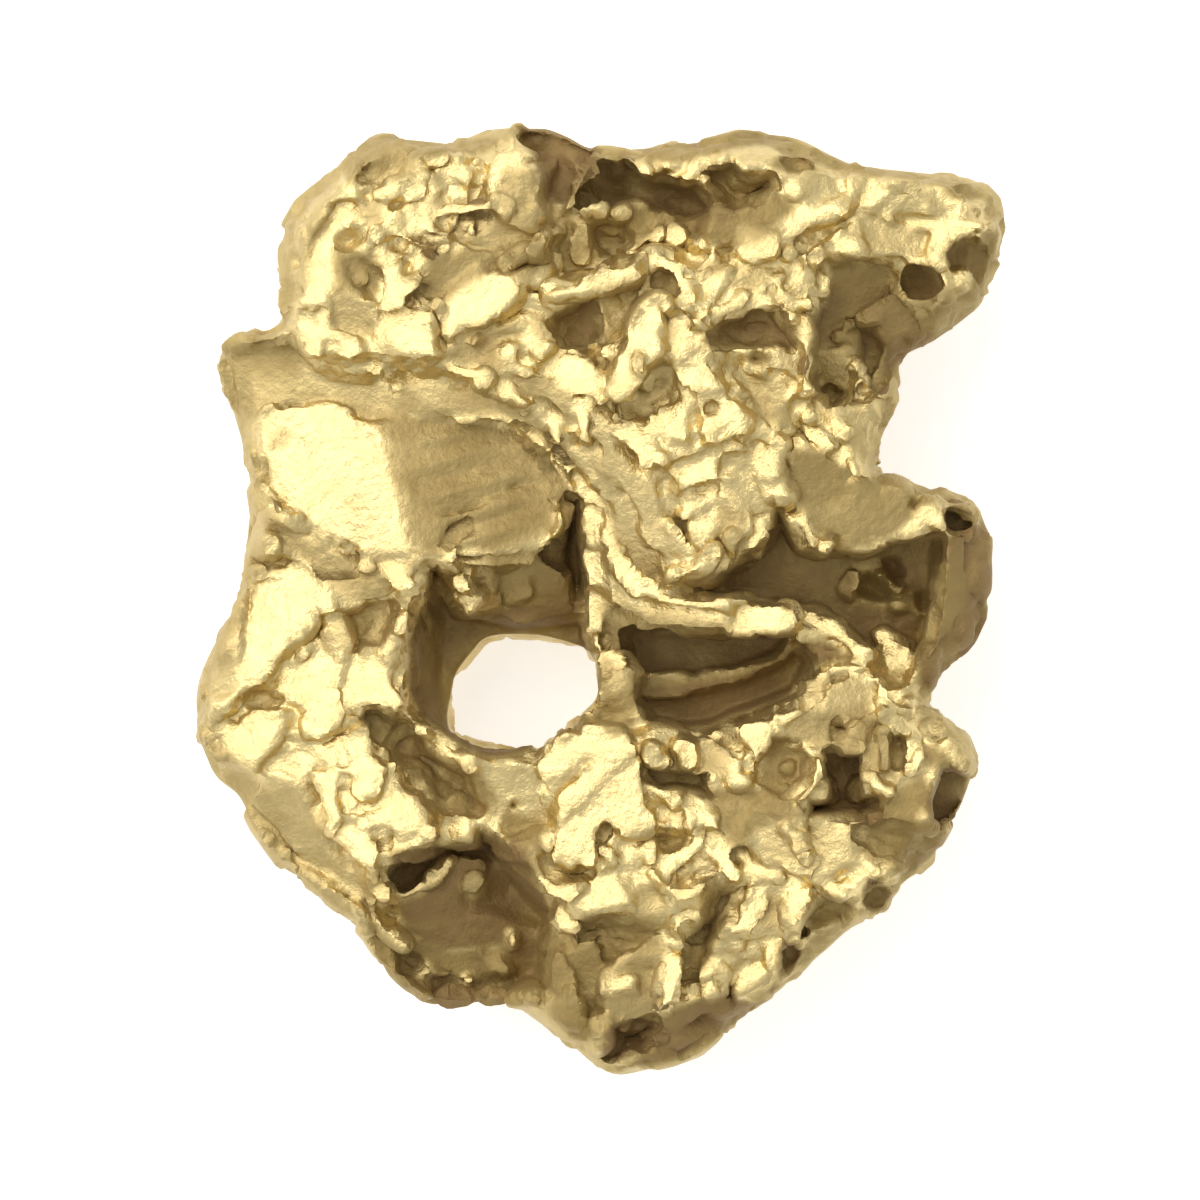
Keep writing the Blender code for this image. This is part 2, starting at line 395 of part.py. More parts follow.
def shape_lower_centre_mass(face):
    face.terrace(((-1.94, -2.66), (-0.9, -2.58), (-0.18, -2.18), (0.94, -2.18), (2.54, -2.34),
        (2.54, -4.02), (1.9, -5.22), (0.62, -5.22), (-0.9, -4.9), (-1.62, -4.02)), 3.7, 100, 0.08, 0.5)
    face.terrace(((-0.98, -2.61), (-0.21, -2.06), (0.5, -2.22), (0.78, -3.09), (0.86, -3.57),
        (0.18, -3.63), (-0.18, -4.1), (-0.66, -4.05), (-0.82, -3.22)), 4.3, 135, 0.3, 0.22)
    face.facet(((-1.94, -2.64), (-0.98, -2.74), (-0.85, -3.66), (-1.78, -3.63)), 240, 0.35, -0.25, 0.18)
    face.pit((0.06, -3.7), (0.24, 0.2), 0.4)
    face.ridge(((-1.01, -4.56), (-0.42, -4.75), (0.34, -4.56)), 0.2, 0.4, 0.1)
    face.lump((-0.56, -5.04), (0.3, 0.26), 0.3)
    face.ridge(((0.78, -3.06), (1.42, -3.25), (1.84, -3.57), (1.94, -3.95), (2.22, -4.5)),
        0.2, 0.4, 0.1)
    face.pit((1.23, -3.86), (0.3, 0.22), 0.45, 20)
    face.ridge(((0.88, -4.21), (1.26, -4.11), (1.62, -3.82)), 0.2, 0.3, 0.1)
    face.facet(((0.86, -4.37), (1.74, -4.34), (1.71, -4.91), (0.94, -4.91)), 130, 0.5, 0.1)
    face.lump((0.94, -2.34), (0.24, 0.3), 0.3)
    face.lump((1.36, -2.42), (0.24, 0.3), 0.3)
    face.ridge(((0.78, -2.77), (1.42, -2.96), (1.94, -2.99)), 0.28, -0.4, 0.1)
    face.facet(((1.78, -2.29), (2.35, -2.22), (2.42, -2.96), (1.87, -2.96)), 140, 0.5, 0.1)
    face.facet(((2.26, -1.87), (2.78, -1.84), (2.77, -2.38), (2.29, -2.42)), 120, 0.5, 0.1)


def shape_crown(face):
    face.terrace(((2.54, -2.18), (3.34, -1.46), (4.46, -1.14), (5.5, -1.86), (5.98, -2.74),
        (5.42, -3.86), (4.78, -4.58), (3.18, -4.5), (2.38, -3.86)), 3.8, 45, 0.08, 0.6)
    face.facet(((3.28, -1.1), (4.43, -1.04), (4.56, -1.9), (3.38, -1.97)), 80, 0.45, 0.05, 0.18)
    face.ridge(((3.31, -1.97), (3.31, -1.46), (3.54, -1.1)), 0.18, 0.3, 0.1)
    face.ridge(((4.43, -1.74), (4.62, -1.46), (4.53, -1.14)), 0.2, 0.35, 0.1)
    face.facet(((2.64, -2.19), (3.42, -2.19), (3.38, -3.06), (2.7, -2.99)), 250, 0.5, -0.25)
    face.ridge(((3.5, -2.45), (3.38, -2.86), (3.18, -3.22)), 0.18, 0.3, 0.1)
    face.pit((3.92, -2.05), (0.2, 0.2), 0.5)
    face.terrace(((3.7, -2.48), (4.21, -2.45), (4.24, -3.18), (3.66, -3.22)), 2.7, 0, 0.0, 0.16)
    face.facet(((3.34, -3.22), (4.43, -3.18), (4.46, -3.47), (3.31, -3.47)), 90, 0.4, 0.05)
    face.ridge(((4.66, -1.81), (5.18, -1.87), (5.74, -2.22), (5.97, -2.83)), 0.3, 0.3, 0.1)
    face.facet(((4.3, -2.86), (4.78, -2.9), (4.78, -3.18), (4.34, -3.18)), 130, 0.5, 0.1)
    face.ridge(((4.86, -2.86), (4.91, -2.45), (5.2, -2.35)), 0.18, 0.3, 0.1)
    face.pit((5.62, -3.22), (0.3, 0.42), 0.7, -15)
    face.terrace(((4.18, -3.41), (5.39, -3.41), (5.26, -4.02), (4.46, -4.14)), 3.1, 300, 0.3, 0.2)
    face.facet(((2.42, -3.57), (4.11, -3.57), (4.08, -4.21), (3.18, -4.46), (2.54, -4.21)),
        260, 0.45, -0.15, 0.2)
    face.ridge(((3.18, -3.86), (3.42, -4.05), (3.44, -4.37)), 0.18, 0.35, 0.1)
    face.lump((3.98, -4.46), (0.36, 0.26), 0.4)
    face.lump((4.66, -4.4), (0.22, 0.26), 0.35)
    face.pit((4.46, -4.75), (0.24, 0.14), 0.4)


def shape_foot_of_the_nugget(face):
    face.terrace(((-0.74, -5.14), (0.62, -4.9), (2.86, -4.82), (3.98, -4.9), (3.18, -5.78),
        (2.22, -6.61), (0.78, -7.38), (-0.02, -7.3), (-0.66, -6.58)), 3.0, 290, 0.3, 0.5)
    face.ridge(((-0.02, -6.18), (0.3, -6.13), (0.66, -6.06)), 0.2, 0.45, 0.1)
    face.ridge(((0.86, -5.58), (1.23, -5.97), (1.07, -6.66)), 0.22, 0.45, 0.1)
    face.terrace(((0.18, -6.8), (0.86, -6.77), (0.86, -7.28), (0.21, -7.31)), 1.7, 0, 0.0, 0.16)
    face.ridge(((-0.27, -7.09), (-0.14, -7.31), (0.02, -7.5)), 0.2, 0.35, 0.1)
    face.facet(((1.07, -6.58), (2.51, -6.18), (2.3, -6.7), (1.26, -7.34), (0.94, -7.22)),
        300, 0.7, -0.2, 0.25)
    face.facet(((2.22, -5.87), (2.86, -5.84), (2.83, -6.38), (2.26, -6.42)), 140, 0.5, 0.15)
    face.lump((2.7, -5.3), (0.2, 0.3), 0.35)
    face.lump((2.11, -5.54), (0.24, 0.26), 0.3)
    face.ridge(((2.06, -5.39), (2.62, -4.59)), 0.22, 0.35, 0.1)
    face.ridge(((3.02, -4.18), (3.1, -5.3)), 0.2, 0.35, 0.1)
    face.lump((-0.66, -6.02), (0.22, 0.38), 0.3)
    face.pit((3.28, -5.3), (0.2, 0.2), 0.4)
    face.pit((3.02, -5.7), (0.2, 0.2), 0.4)


def shape_front(points):
    face = Face(points, 2.9)
    face.z += hackle(points, 2 * FRONT_HACKLE_MM, FRONT_HACKLE_SLOPE, 1.5)
    shape_left_lobe(face)
    shape_lower_pocket(face)
    shape_lower_left_block(face)
    shape_foot_of_the_nugget(face)
    shape_lower_centre_mass(face)
    shape_crown(face)
    shape_upper_left_lobe(face)
    shape_upper_right_lobe(face)
    shape_top_hollow(face)
    shape_ledge(face)
    shape_eye_pits(face)
    shape_right_hollow(face)
    shape_right_middle_lobe(face)
    shape_centre_block(face)
    shape_hole_walls(face)
    rough = face.z + hackle(points, FRONT_HACKLE_MM, FRONT_HACKLE_SLOPE, 8.5)
    for area in SMOOTH_AREAS:
        rough += smooth_step(depth_inside(points, area) / 0.3) * (face.z - rough)
    face.z = rough
    shape_flap(face)
    shape_strip(face)
    return face.z


# Worn patches of the back, the only places that touch the ground
WORN_PATCHES = (
    ((-4.5, 6.14), (-2.9, 6.54), (-2.34, 5.58), (-2.9, 4.46), (-4.26, 4.62)),
    ((2.86, 6.54), (4.86, 6.3), (5.02, 5.39), (3.82, 4.78), (2.7, 5.39)),
    ((-5.42, -0.9), (-3.98, -0.66), (-3.38, -1.94), (-4.18, -3.22), (-5.42, -2.66)),
    ((0.94, -2.26), (3.18, -1.94), (4.46, -2.9), (3.66, -4.21), (1.9, -4.5), (0.78, -3.54)),
    ((-0.42, -5.78), (0.94, -5.54), (1.58, -6.42), (0.62, -6.98), (-0.26, -6.5)),
)


# Folds and dents that run across the back
BACK_DENTS = (
    ((-4.98, 2.86), (-2.9, 1.9), (-1.3, 2.06)),
    ((0.3, 6.06), (1.42, 4.3), (1.58, 3.18)),
    ((1.58, 0.62), (3.66, -0.02), (5.26, 0.14)),
    ((-3.54, -4.5), (-2.1, -3.22), (-0.02, -3.22)),
    ((2.54, -4.82), (1.58, -5.3), (1.42, -6.1)),
)


def shape_back(points):
    """Heights of the back above the resting plane: broad swells, a few dents and the worn patches."""
    face = Face(points, 0.5)
    swells = [noise.noise(Vector((x / 2.4, y / 2.4, 7.3))) for x, y in points]
    face.z += 0.5 * np.array(swells)
    for dent in BACK_DENTS:
        face.ridge(dent, 0.95, 0.75, 0.35)
    face.ridge(((-2.34, 6.22), (-1.62, 4.3), (-0.02, 2.86), (1.9, 2.06), (3.18, 0.62)), 0.45, -0.4, 0.2)
    face.lump((-2.1, -4.5), (1.0, 0.7), -0.35, 30)
    face.z += hackle(points, BACK_HACKLE_MM, BACK_HACKLE_SLOPE, 4.5)
    face.z += hackle(points, BACK_HACKLE_MM / 2, BACK_HACKLE_SLOPE, 2.5)
    for patch in WORN_PATCHES:
        face.terrace(patch, -0.1, soft=1.3)
    return face.z


def evaluated_mesh(name, source, modifiers=()):
    """A plain mesh of the source data with each modifier, given as (kind, settings), applied."""
    working = bpy.data.objects.new(name, source)
    bpy.context.collection.objects.link(working)
    for kind, settings in modifiers:
        modifier = working.modifiers.new(kind.title(), kind)
        for key, value in settings.items():
            setattr(modifier, key, value)
    graph = bpy.context.evaluated_depsgraph_get()
    mesh = bpy.data.meshes.new_from_object(working.evaluated_get(graph))
    bpy.data.objects.remove(working)
    return mesh


def filled_outline(name, loops, half_height, rounding):
    """A flat plate: smooth closed loops, filled between them and extruded to both sides."""
    curve = bpy.data.curves.new(name, "CURVE")
    curve.dimensions = "2D"
    curve.fill_mode = "BOTH"
    curve.resolution_u = 4
    curve.extrude = half_height
    curve.bevel_depth = rounding
    curve.bevel_resolution = 2
    for loop in loops:
        spline = curve.splines.new("BEZIER")
        spline.bezier_points.add(len(loop) - 1)
        spline.use_cyclic_u = True
        for point, (x, y) in zip(spline.bezier_points, loop):
            point.co = (x, y, 0.0)
            point.handle_left_type = "AUTO"
            point.handle_right_type = "AUTO"
    return evaluated_mesh(name, curve)


def remeshed(name, mesh, spacing):
    settings = {"mode": "VOXEL", "voxel_size": spacing, "adaptivity": 0.0}
    return evaluated_mesh(name, mesh, [("REMESH", settings)])


def coordinates(mesh):
    flat = np.empty(len(mesh.vertices) * 3, np.float32)
    mesh.vertices.foreach_get("co", flat)
    return flat.reshape(-1, 3).astype(float)


def set_coordinates(mesh, places):
    mesh.vertices.foreach_set("co", places.astype(np.float32).ravel())
    mesh.update()


def rounded_over(depth, reach):
    """Quarter circle: 0 at the rim, 1 from `reach` inwards."""
    inwards = 1.0 - np.clip(depth / reach, 0.0, 1.0)
    return np.sqrt(1.0 - inwards**2)


def rim_height(points):
    wander = [noise.noise(Vector((x / 2.6, y / 2.6, 11.7))) for x, y in points]
    return RIM_MM + RIM_WANDER_MM * np.array(wander)


def roughened_sides(mesh):
    """Cuts hackly facets into the sides, above and below the rim, which keeps its outline."""
    places = coordinates(mesh)
    normals = np.empty(len(mesh.vertices) * 3, np.float32)
    mesh.vertex_normals.foreach_get("vector", normals)
    normals = normals.reshape(-1, 3)
    upright = 1.0 - smooth_step((np.abs(normals[:, 2]) - 0.6) / 0.3)
    clear = smooth_step((np.abs(places[:, 2] - rim_height(places[:, :2])) - 0.1) / 0.5)
    cuts = np.minimum(hackle(places, SIDE_HACKLE_MM, SIDE_HACKLE_SLOPE, 6.5), 0.1)
    set_coordinates(mesh, places + normals * (upright * clear * cuts)[:, None])


def shaped_body():
    """The slab with both faces shaped and rounded over to the rim."""
    slab = filled_outline("slab", (OUTLINE, HOLE), SLAB_MM / 2, 0.0)
    body = remeshed("body", slab, GRAIN_MM)
    places = coordinates(body)
    points = places[:, :2]
    share = np.clip(places[:, 2] / SLAB_MM + 0.5, 0.0, 1.0)
    depth = depth_inside(points, OUTLINE)
    over_front, over_back = (
        RIM_SHARE + (1.0 - RIM_SHARE) * rounded_over(depth, reach) for reach in RIM_ROUND_MM
    )
    rim = rim_height(points)
    front = rim + (shape_front(points) - rim) * over_front
    back = rim + (shape_back(points) - rim) * over_back
    places[:, 2] = back + (front - back) * share
    set_coordinates(body, places)
    return body


def lip():
    """The tongue at the end of the flap, bent down over the hole."""
    plate = filled_outline("lip", (LIP,), 0.1, 0.16)
    places = coordinates(plate)
    reach = places[:, :2] - np.array(LIP[0])
    places[:, 2] += LIP_HEIGHT_MM - LIP_DROOP * np.hypot(*reach.T)
    set_coordinates(plate, places)
    return plate


def joined(name, meshes):
    """Several closed meshes in one, grown together under one skin."""
    together = bmesh.new()
    for mesh in meshes:
        together.from_mesh(mesh)
    mesh = bpy.data.meshes.new(name)
    together.to_mesh(mesh)
    together.free()
    return remeshed(name, mesh, SKIN_MM)


def softened(mesh, rounds):
    soft = bmesh.new()
    soft.from_mesh(mesh)
    for _ in range(rounds):
        bmesh.ops.smooth_vert(soft, verts=soft.verts, factor=0.4, use_axis_x=True, use_axis_y=True,
            use_axis_z=True)
    soft.to_mesh(mesh)
    soft.free()


def thinned(mesh):
    faces = 2 * len(mesh.polygons)
    return evaluated_mesh("thinned", mesh, [("DECIMATE", {"ratio": TRIANGLES / faces})])


def worn_flat(mesh):
    """Cuts off all that lies below the resting plane and closes the cuts with flat faces."""
    cut = bmesh.new()
    cut.from_mesh(mesh)
    everything = cut.verts[:] + cut.edges[:] + cut.faces[:]
    sliced = bmesh.ops.bisect_plane(
        cut, geom=everything, dist=0.0005, plane_co=(0, 0, 0), plane_no=(0, 0, -1), clear_outer=True
    )
    rim = [edge for edge in sliced["geom_cut"] if isinstance(edge, bmesh.types.BMEdge)]
    bmesh.ops.holes_fill(cut, edges=rim)
    bmesh.ops.remove_doubles(cut, verts=cut.verts, dist=WELD_MM)
    for vert in cut.verts:
        if vert.co.z < WELD_MM:
            vert.co.z = 0.0
    bmesh.ops.triangulate(cut, faces=cut.faces)
    bmesh.ops.recalc_face_normals(cut, faces=cut.faces)
    cut.to_mesh(mesh)
    cut.free()


def to_real_size(mesh):
    """Scales the millimetre mesh to metres, over the origin and standing on it."""
    places = coordinates(mesh)
    low, high = places.min(axis=0), places.max(axis=0)
    middle = np.array([(low[0] + high[0]) / 2, (low[1] + high[1]) / 2, low[2]])
    set_coordinates(mesh, (places - middle) * (LENGTH / (high[1] - low[1])))


def native_gold():
    material = bpy.data.materials.new("native_gold")
    material.use_nodes = True
    surface = material.node_tree.nodes["Principled BSDF"]
    surface.inputs["Base Color"].default_value = (*GOLD, 1.0)
    surface.inputs["Metallic"].default_value = 1.0
    surface.inputs["Roughness"].default_value = ROUGHNESS
    return material


def build_nugget():
    skin = joined("skin", (shaped_body(), lip()))
    roughened_sides(skin)
    softened(skin, 2)
    mesh = thinned(skin)
    worn_flat(mesh)
    to_real_size(mesh)
    mesh.name = "gold_nugget"
    mesh.materials.clear()
    mesh.materials.append(native_gold())
    mesh.shade_smooth()
    mesh.set_sharp_from_angle(angle=math.radians(40))
    nugget = bpy.data.objects.new("gold_nugget", mesh)
    bpy.context.collection.objects.link(nugget)


for leftover in list(bpy.data.objects):
    bpy.data.objects.remove(leftover)
noise.seed_set(NOISE_SEED)
build_nugget()
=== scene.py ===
# %% [markdown]
# # A gold nugget
#
# A placer nugget is native gold that water has carried, folded and hammered. It is one piece of
# metal, so it is one mesh here too. The metal tells its story in relief: a smooth flap folded
# over and burnished, a strip of its edge that curls on past a hole, walls that drop to the hole,
# and all around them hackly, half-crushed crystals with bright facets, ledges and pits.
#
# The solid model beside this file has the same outline and main forms with few faces. This
# file makes the surface that is looked at. Everything is worked in millimetres, front face up,
# and brought to the solid's own place and size at the end. Corners are written as x, y, x, y in
# hundredths of a millimetre, which `mm` turns into points.

# %% Load the frame
import math

import bmesh
import bpy
import numpy as np
from mathutils import Euler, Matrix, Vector, noise
from mathutils.bvhtree import BVHTree


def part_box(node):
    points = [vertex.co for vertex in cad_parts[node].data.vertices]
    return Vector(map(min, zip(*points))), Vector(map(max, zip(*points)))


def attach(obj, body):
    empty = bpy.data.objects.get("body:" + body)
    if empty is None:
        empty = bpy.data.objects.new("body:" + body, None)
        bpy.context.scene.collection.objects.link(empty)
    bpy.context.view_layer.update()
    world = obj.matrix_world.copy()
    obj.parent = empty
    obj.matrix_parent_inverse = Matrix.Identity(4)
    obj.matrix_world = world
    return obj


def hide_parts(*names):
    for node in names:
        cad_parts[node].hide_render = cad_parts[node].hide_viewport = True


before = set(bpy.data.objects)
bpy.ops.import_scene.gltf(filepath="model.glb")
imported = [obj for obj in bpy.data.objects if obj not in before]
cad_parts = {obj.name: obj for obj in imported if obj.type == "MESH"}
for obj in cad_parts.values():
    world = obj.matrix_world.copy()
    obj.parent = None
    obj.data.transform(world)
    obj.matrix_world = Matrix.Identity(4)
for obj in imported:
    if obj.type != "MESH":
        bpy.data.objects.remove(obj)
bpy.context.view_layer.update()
solid_low, solid_high = (Vector(corner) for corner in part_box("gold_nugget"))
NOISE_SEED = 7
noise.seed_set(NOISE_SEED)
print("the solid is", [round(1000 * side, 2) for side in solid_high - solid_low], "mm")

# %% [markdown]
# ## Camera
#
# The nugget lies on its back and is looked at from straight above. The lens is long, so the sides
# hardly show and the outline stays true. The width of the view is measured at the height where
# most of the metal lies.

# %% Camera
LENS_MM = 200
SENSOR_MM = 36
VIEW_WIDTH = 0.0192  # metres of the scene across the picture
EYE_LEVEL = 0.0024  # height of the surfaces that the view width is measured at

camera = bpy.data.objects.new("camera", bpy.data.cameras.new("camera"))
camera.data.lens = LENS_MM
camera.data.sensor_width = SENSOR_MM
camera.data.clip_start = 0.001
camera.location = (0, 0, EYE_LEVEL + VIEW_WIDTH * LENS_MM / SENSOR_MM)
bpy.context.collection.objects.link(camera)
bpy.context.scene.camera = camera
print("the camera stands", round(camera.location.z, 3), "m above the floor")

# %% [markdown]
# ## Measuring tools
#
# The relief is one height for each point of a plate, so a few measuring tools do most of the work:
# how far a point is from a line, and how deep it lies inside an outline. Two kinds of natural
# roughness follow. `hackle` is torn metal: cells that each lean their own way. `crystals` is grown
# metal: low pyramids packed side by side. Their noise has a fixed seed, so every run gives the
# same nugget.

# %% Measuring tools
def mm(*hundredths):
    """Points (x, y) in millimetres, from x, y, x, y in hundredths of a millimetre."""
    return [(x / 100, y / 100) for x, y in zip(hundredths[::2], hundredths[1::2])]


def smooth_step(t):
    """0 to 1 with an easy start and end."""
    t = np.clip(t, 0.0, 1.0)
    return t * t * (3.0 - 2.0 * t)


def line_distance(points, line, closed=False):
    """Distance from each point to a broken line, the step from there, and how far along (0 to 1)."""
    corners = np.array(line)
    starts = corners if closed else corners[:-1]
    ends = np.roll(corners, -1, axis=0) if closed else corners[1:]
    lengths = np.hypot(*(ends - starts).T)
    travelled = np.concatenate(([0.0], np.cumsum(lengths)))
    best = np.full(len(points), 1e9)
    steps = np.zeros(points.shape)
    along = np.zeros(len(points))
    for start, end, length, before in zip(starts, ends, lengths, travelled):
        direction = (end - start) / length
        reach = np.clip((points - start) @ direction, 0.0, length)
        away = points - start - reach[:, None] * direction
        gap = np.hypot(*away.T)
        nearer = gap < best
        best[nearer] = gap[nearer]
        steps[nearer] = away[nearer]
        along[nearer] = (before + reach[nearer]) / travelled[-1]
    return best, steps, along


def depth_inside(points, corners):
    """Distance to the edge of a polygon, positive inside it and negative outside."""
    edge, _, _ = line_distance(points, corners, closed=True)
    x, y = points.T
    inside = np.zeros(len(points), bool)
    for (x0, y0), (x1, y1) in zip(corners, corners[1:] + corners[:1]):
        if y0 != y1:
            crosses = (y0 > y) != (y1 > y)
            inside ^= crosses & (x < (x1 - x0) * (y - y0) / (y1 - y0) + x0)
    return np.where(inside, edge, -edge)


def hackle(points, width, slope, seed):
    """Small flat facets side by side, each leaning its own way and fading out at its border."""
    heights = np.zeros(len(points))
    for place, point in enumerate(points):
        spot = Vector((*point, 0.0)[:3]) / width + Vector((0.0, 0.0, seed))
        distances, centres = noise.voronoi(spot)
        lean = noise.noise_vector(centres[0] * 5.7)
        fall = (spot - centres[0]).dot(lean)
        border = min((distances[1] - distances[0]) / 0.25, 1.0)
        heights[place] = slope * width * fall * border
    return heights


def crystals(points, width, slope, seed):
    """Crystal faces: low pyramids with sharp edges, packed side by side and slowly turning."""
    heights = np.zeros(len(points))
    for place, point in enumerate(points):
        spot = Vector((*point, 0.0)[:3])
        turn = 0.8 + 0.8 * noise.noise(spot / 2.5 + Vector((0.0, 0.0, seed)))
        spot.rotate(Euler((0.0, 0.0, turn)))
        distances, _ = noise.voronoi(spot / width + Vector((0.0, 0.0, seed)),
            distance_metric="MANHATTAN")
        heights[place] = slope * width * (0.8 - distances[0])
    return heights


middle = depth_inside(np.zeros((1, 2)), mm(-200, -200, 200, -200, 200, 200, -200, 200))[0]
print("the middle of a 4 mm square lies", middle, "mm inside its edge")

# %% [markdown]
# ## Strokes
#
# In wax this nugget would take a handful of tools: one to flatten a terrace, one to cut a crystal
# facet, one to press a hollow, and others to raise a lump, a ridge or a crest. The strokes below
# do that to the heights. Each works on what stands there, so their order matters. A hollow also
# gathers brown stain and painted shade. Facets that look up-left, towards the lamp, stand
# proud and lose most of it.

# %% Strokes
UP_LEFT = 135.0
CRYSTAL_SLOPE = 0.42
TREAD_MM = 0.95


def compass(degrees):
    """The direction that a number of degrees from +X points to."""
    return np.array([math.cos(math.radians(degrees)), math.sin(math.radians(degrees))])


def oval(centre, size, turn=0.0, corners=14):
    """Corners around an oval: its two half widths, turned by some degrees."""
    outline = []
    for corner in range(corners):
        angle = math.tau * corner / corners
        across, up = size[0] * math.cos(angle), size[1] * math.sin(angle)
        outline.append(tuple(centre + across * compass(turn) + up * compass(turn + 90.0)))
    return outline


class Face:
    """One face of the nugget: the height z of every point (x, y), shaped by strokes in millimetres.

    `faces` is the compass direction that a plane leans to, in degrees from +X, and `slope` its fall.
    """

    def __init__(self, points, height):
        self.points = points
        self.z = np.full(len(points), height)
        self.calm = np.zeros(len(points))  # 1 where a facet keeps its plane free of small crystals
        self.stain_and_shade_notes = []
        self.strokes = 0
        self.before = self.z.copy()

    def tell(self, name):
        """Prints how many strokes shaped a form, and how high the area stands that they changed."""
        changed = self.z[self.z != self.before]
        print(f"{name}: {self.strokes} strokes, {changed.min():.2f} to {changed.max():.2f} mm high")
        self.strokes = 0
        self.before = self.z.copy()

    def near(self, corners, reach):
        """Which points a stroke can change: those in the box around its corners."""
        low = np.min(corners, axis=0) - reach
        high = np.max(corners, axis=0) + reach
        self.strokes += 1
        return np.flatnonzero(np.all((self.points > low) & (self.points < high), axis=1))

    def terrace(self, corners, top, faces=0.0, slope=0.0, soft=0.3):
        """Brings the area inside the corners to a plane at the given height."""
        near = self.near(corners, soft)
        points = self.points[near]
        inside = depth_inside(points, corners)
        share = smooth_step(inside / min(soft, inside.max()) + 0.5)
        flat = top - slope * ((points - np.mean(corners, axis=0)) @ compass(faces))
        self.z[near] += share * (flat - self.z[near])
        self.calm[near] *= 1.0 - share

    def facet(self, corners, faces=UP_LEFT, slope=CRYSTAL_SLOPE, lift=0.04, soft=0.18):
        """Cuts the area inside the corners to a crystal face, at the mean of what stands there.

        One that is long in the direction it leans to becomes a stair of treads, as crystals grow.
        The sharp ones that look up-left stand proud and, as they face the lamp, lose most of their
        stain and painted shade.
        """
        near = self.near(corners, soft)
        points = self.points[near]
        inside = depth_inside(points, corners)
        share = smooth_step(inside / min(soft, inside.max()) + 0.5)
        fall = points @ compass(faces)
        low, high = fall[inside > 0].min(), fall[inside > 0].max()
        treads = max(1, round((high - low) / TREAD_MM))
        tread = np.clip((fall - low) / (high - low) * treads, 0, treads - 1e-6).astype(int)
        flat = np.empty(len(near))
        for step in range(treads):
            here = tread == step
            middle = low + (high - low) * (step + 0.5) / treads
            mean = np.average(self.z[near][here], weights=share[here] + 1e-9)
            flat[here] = mean + lift - slope * (fall[here] - middle)
        self.z[near] += share * (flat - self.z[near])
        self.calm[near] = np.maximum(self.calm[near], share)
        if slope > 0.3 and abs(faces - UP_LEFT) < 15.0:
            self.clear_stain_and_shade(corners)

    def ramp(self, corners, top, slope, soft, clean=True):
        """A bright plane that looks up-left, towards the lamp, cleared of stain and painted shade and,
        if clean, without crystals.
        """
        self.terrace(corners, top, UP_LEFT, slope, soft)
        if clean:
            self.facet(corners, UP_LEFT, slope, 0.0, 0.12)
        self.clear_stain_and_shade(corners)

    def sink(self, corners, depth, wall=0.2):
        """Sinks the area inside the corners, which gathers brown stain and painted shade as it deepens.
        """
        near = self.near(corners, wall)
        inside = depth_inside(self.points[near], corners)
        floor = np.clip(inside / inside.max(), 0.0, 1.0)
        self.z[near] -= depth * (0.55 * smooth_step(inside / wall + 0.5) + 0.45 * floor)
        self.stain_and_shade(corners, min(depth, 1.0), wall)

    def stain_and_shade(self, corners, amount, soft=0.25):
        """Notes brown stain and painted shade inside the corners: 1 is the darkest, and less than 0
        takes it off.
        """
        self.stain_and_shade_notes.append((corners, amount, soft))

    def clear_stain_and_shade(self, corners):
        """Takes most of the stain and painted shade off inside the corners, where a face looks towards
        the lamp.
        """
        self.stain_and_shade(corners, -0.8, 0.1)

    def stain_and_shade_at(self, points):
        """The stain and painted shade left at each point after all that was noted, in order."""
        deepest = np.zeros(len(points))
        for corners, amount, soft in self.stain_and_shade_notes:
            low, high = np.min(corners, axis=0) - soft, np.max(corners, axis=0) + soft
            near = np.flatnonzero(np.all((points > low) & (points < high), axis=1))
            share = smooth_step(depth_inside(points[near], corners) / soft + 0.5)
            if amount > 0:
                deepest[near] = np.maximum(deepest[near], amount * share)
            else:
                deepest[near] *= 1.0 + amount * share
        return deepest

    def lump(self, centre, size, height):
        """Raises a dome, or sinks a dish if the height is negative."""
        near = self.near([centre], max(size))
        radius = np.hypot(*((self.points[near] - centre) / size).T)
        self.z[near] += height * smooth_step(1.0 - radius)

    def ridge(self, line, width, height, ends=0.15):
        """Raises a rounded ridge along a line, or sinks a groove if the height is negative."""
        near = self.near(line, width)
        gap, _, along = line_distance(self.points[near], line)
        taper = smooth_step(np.minimum(along, 1.0 - along) / ends) if ends else 1.0
        self.z[near] += height * taper * (1.0 - smooth_step(gap / width))

    def crest(self, line, width, height, ends=0.1, faces=UP_LEFT, slope=CRYSTAL_SLOPE):
        """Raises a narrow crest along a line, with a top that leans like a facet."""
        near = self.near(line, width)
        gap, steps, along = line_distance(self.points[near], line)
        taper = smooth_step(np.minimum(along, 1.0 - along) / ends)
        flank = 1.0 - smooth_step(gap / width / 0.6 - 0.66)
        self.z[near] += taper * flank * (height - slope * (steps @ compass(faces)))
        self.calm[near] = np.maximum(self.calm[near], taper * flank)


print("bright facets lean towards", compass(UP_LEFT).round(2))

# %% [markdown]
# ## Plate
#
# From the front the nugget is a lobed plate with one hole. The work starts with that outline,
# filled and thickened, under an even mesh that is fine enough for every stroke. The true
# thickness and the rounded rim come later.

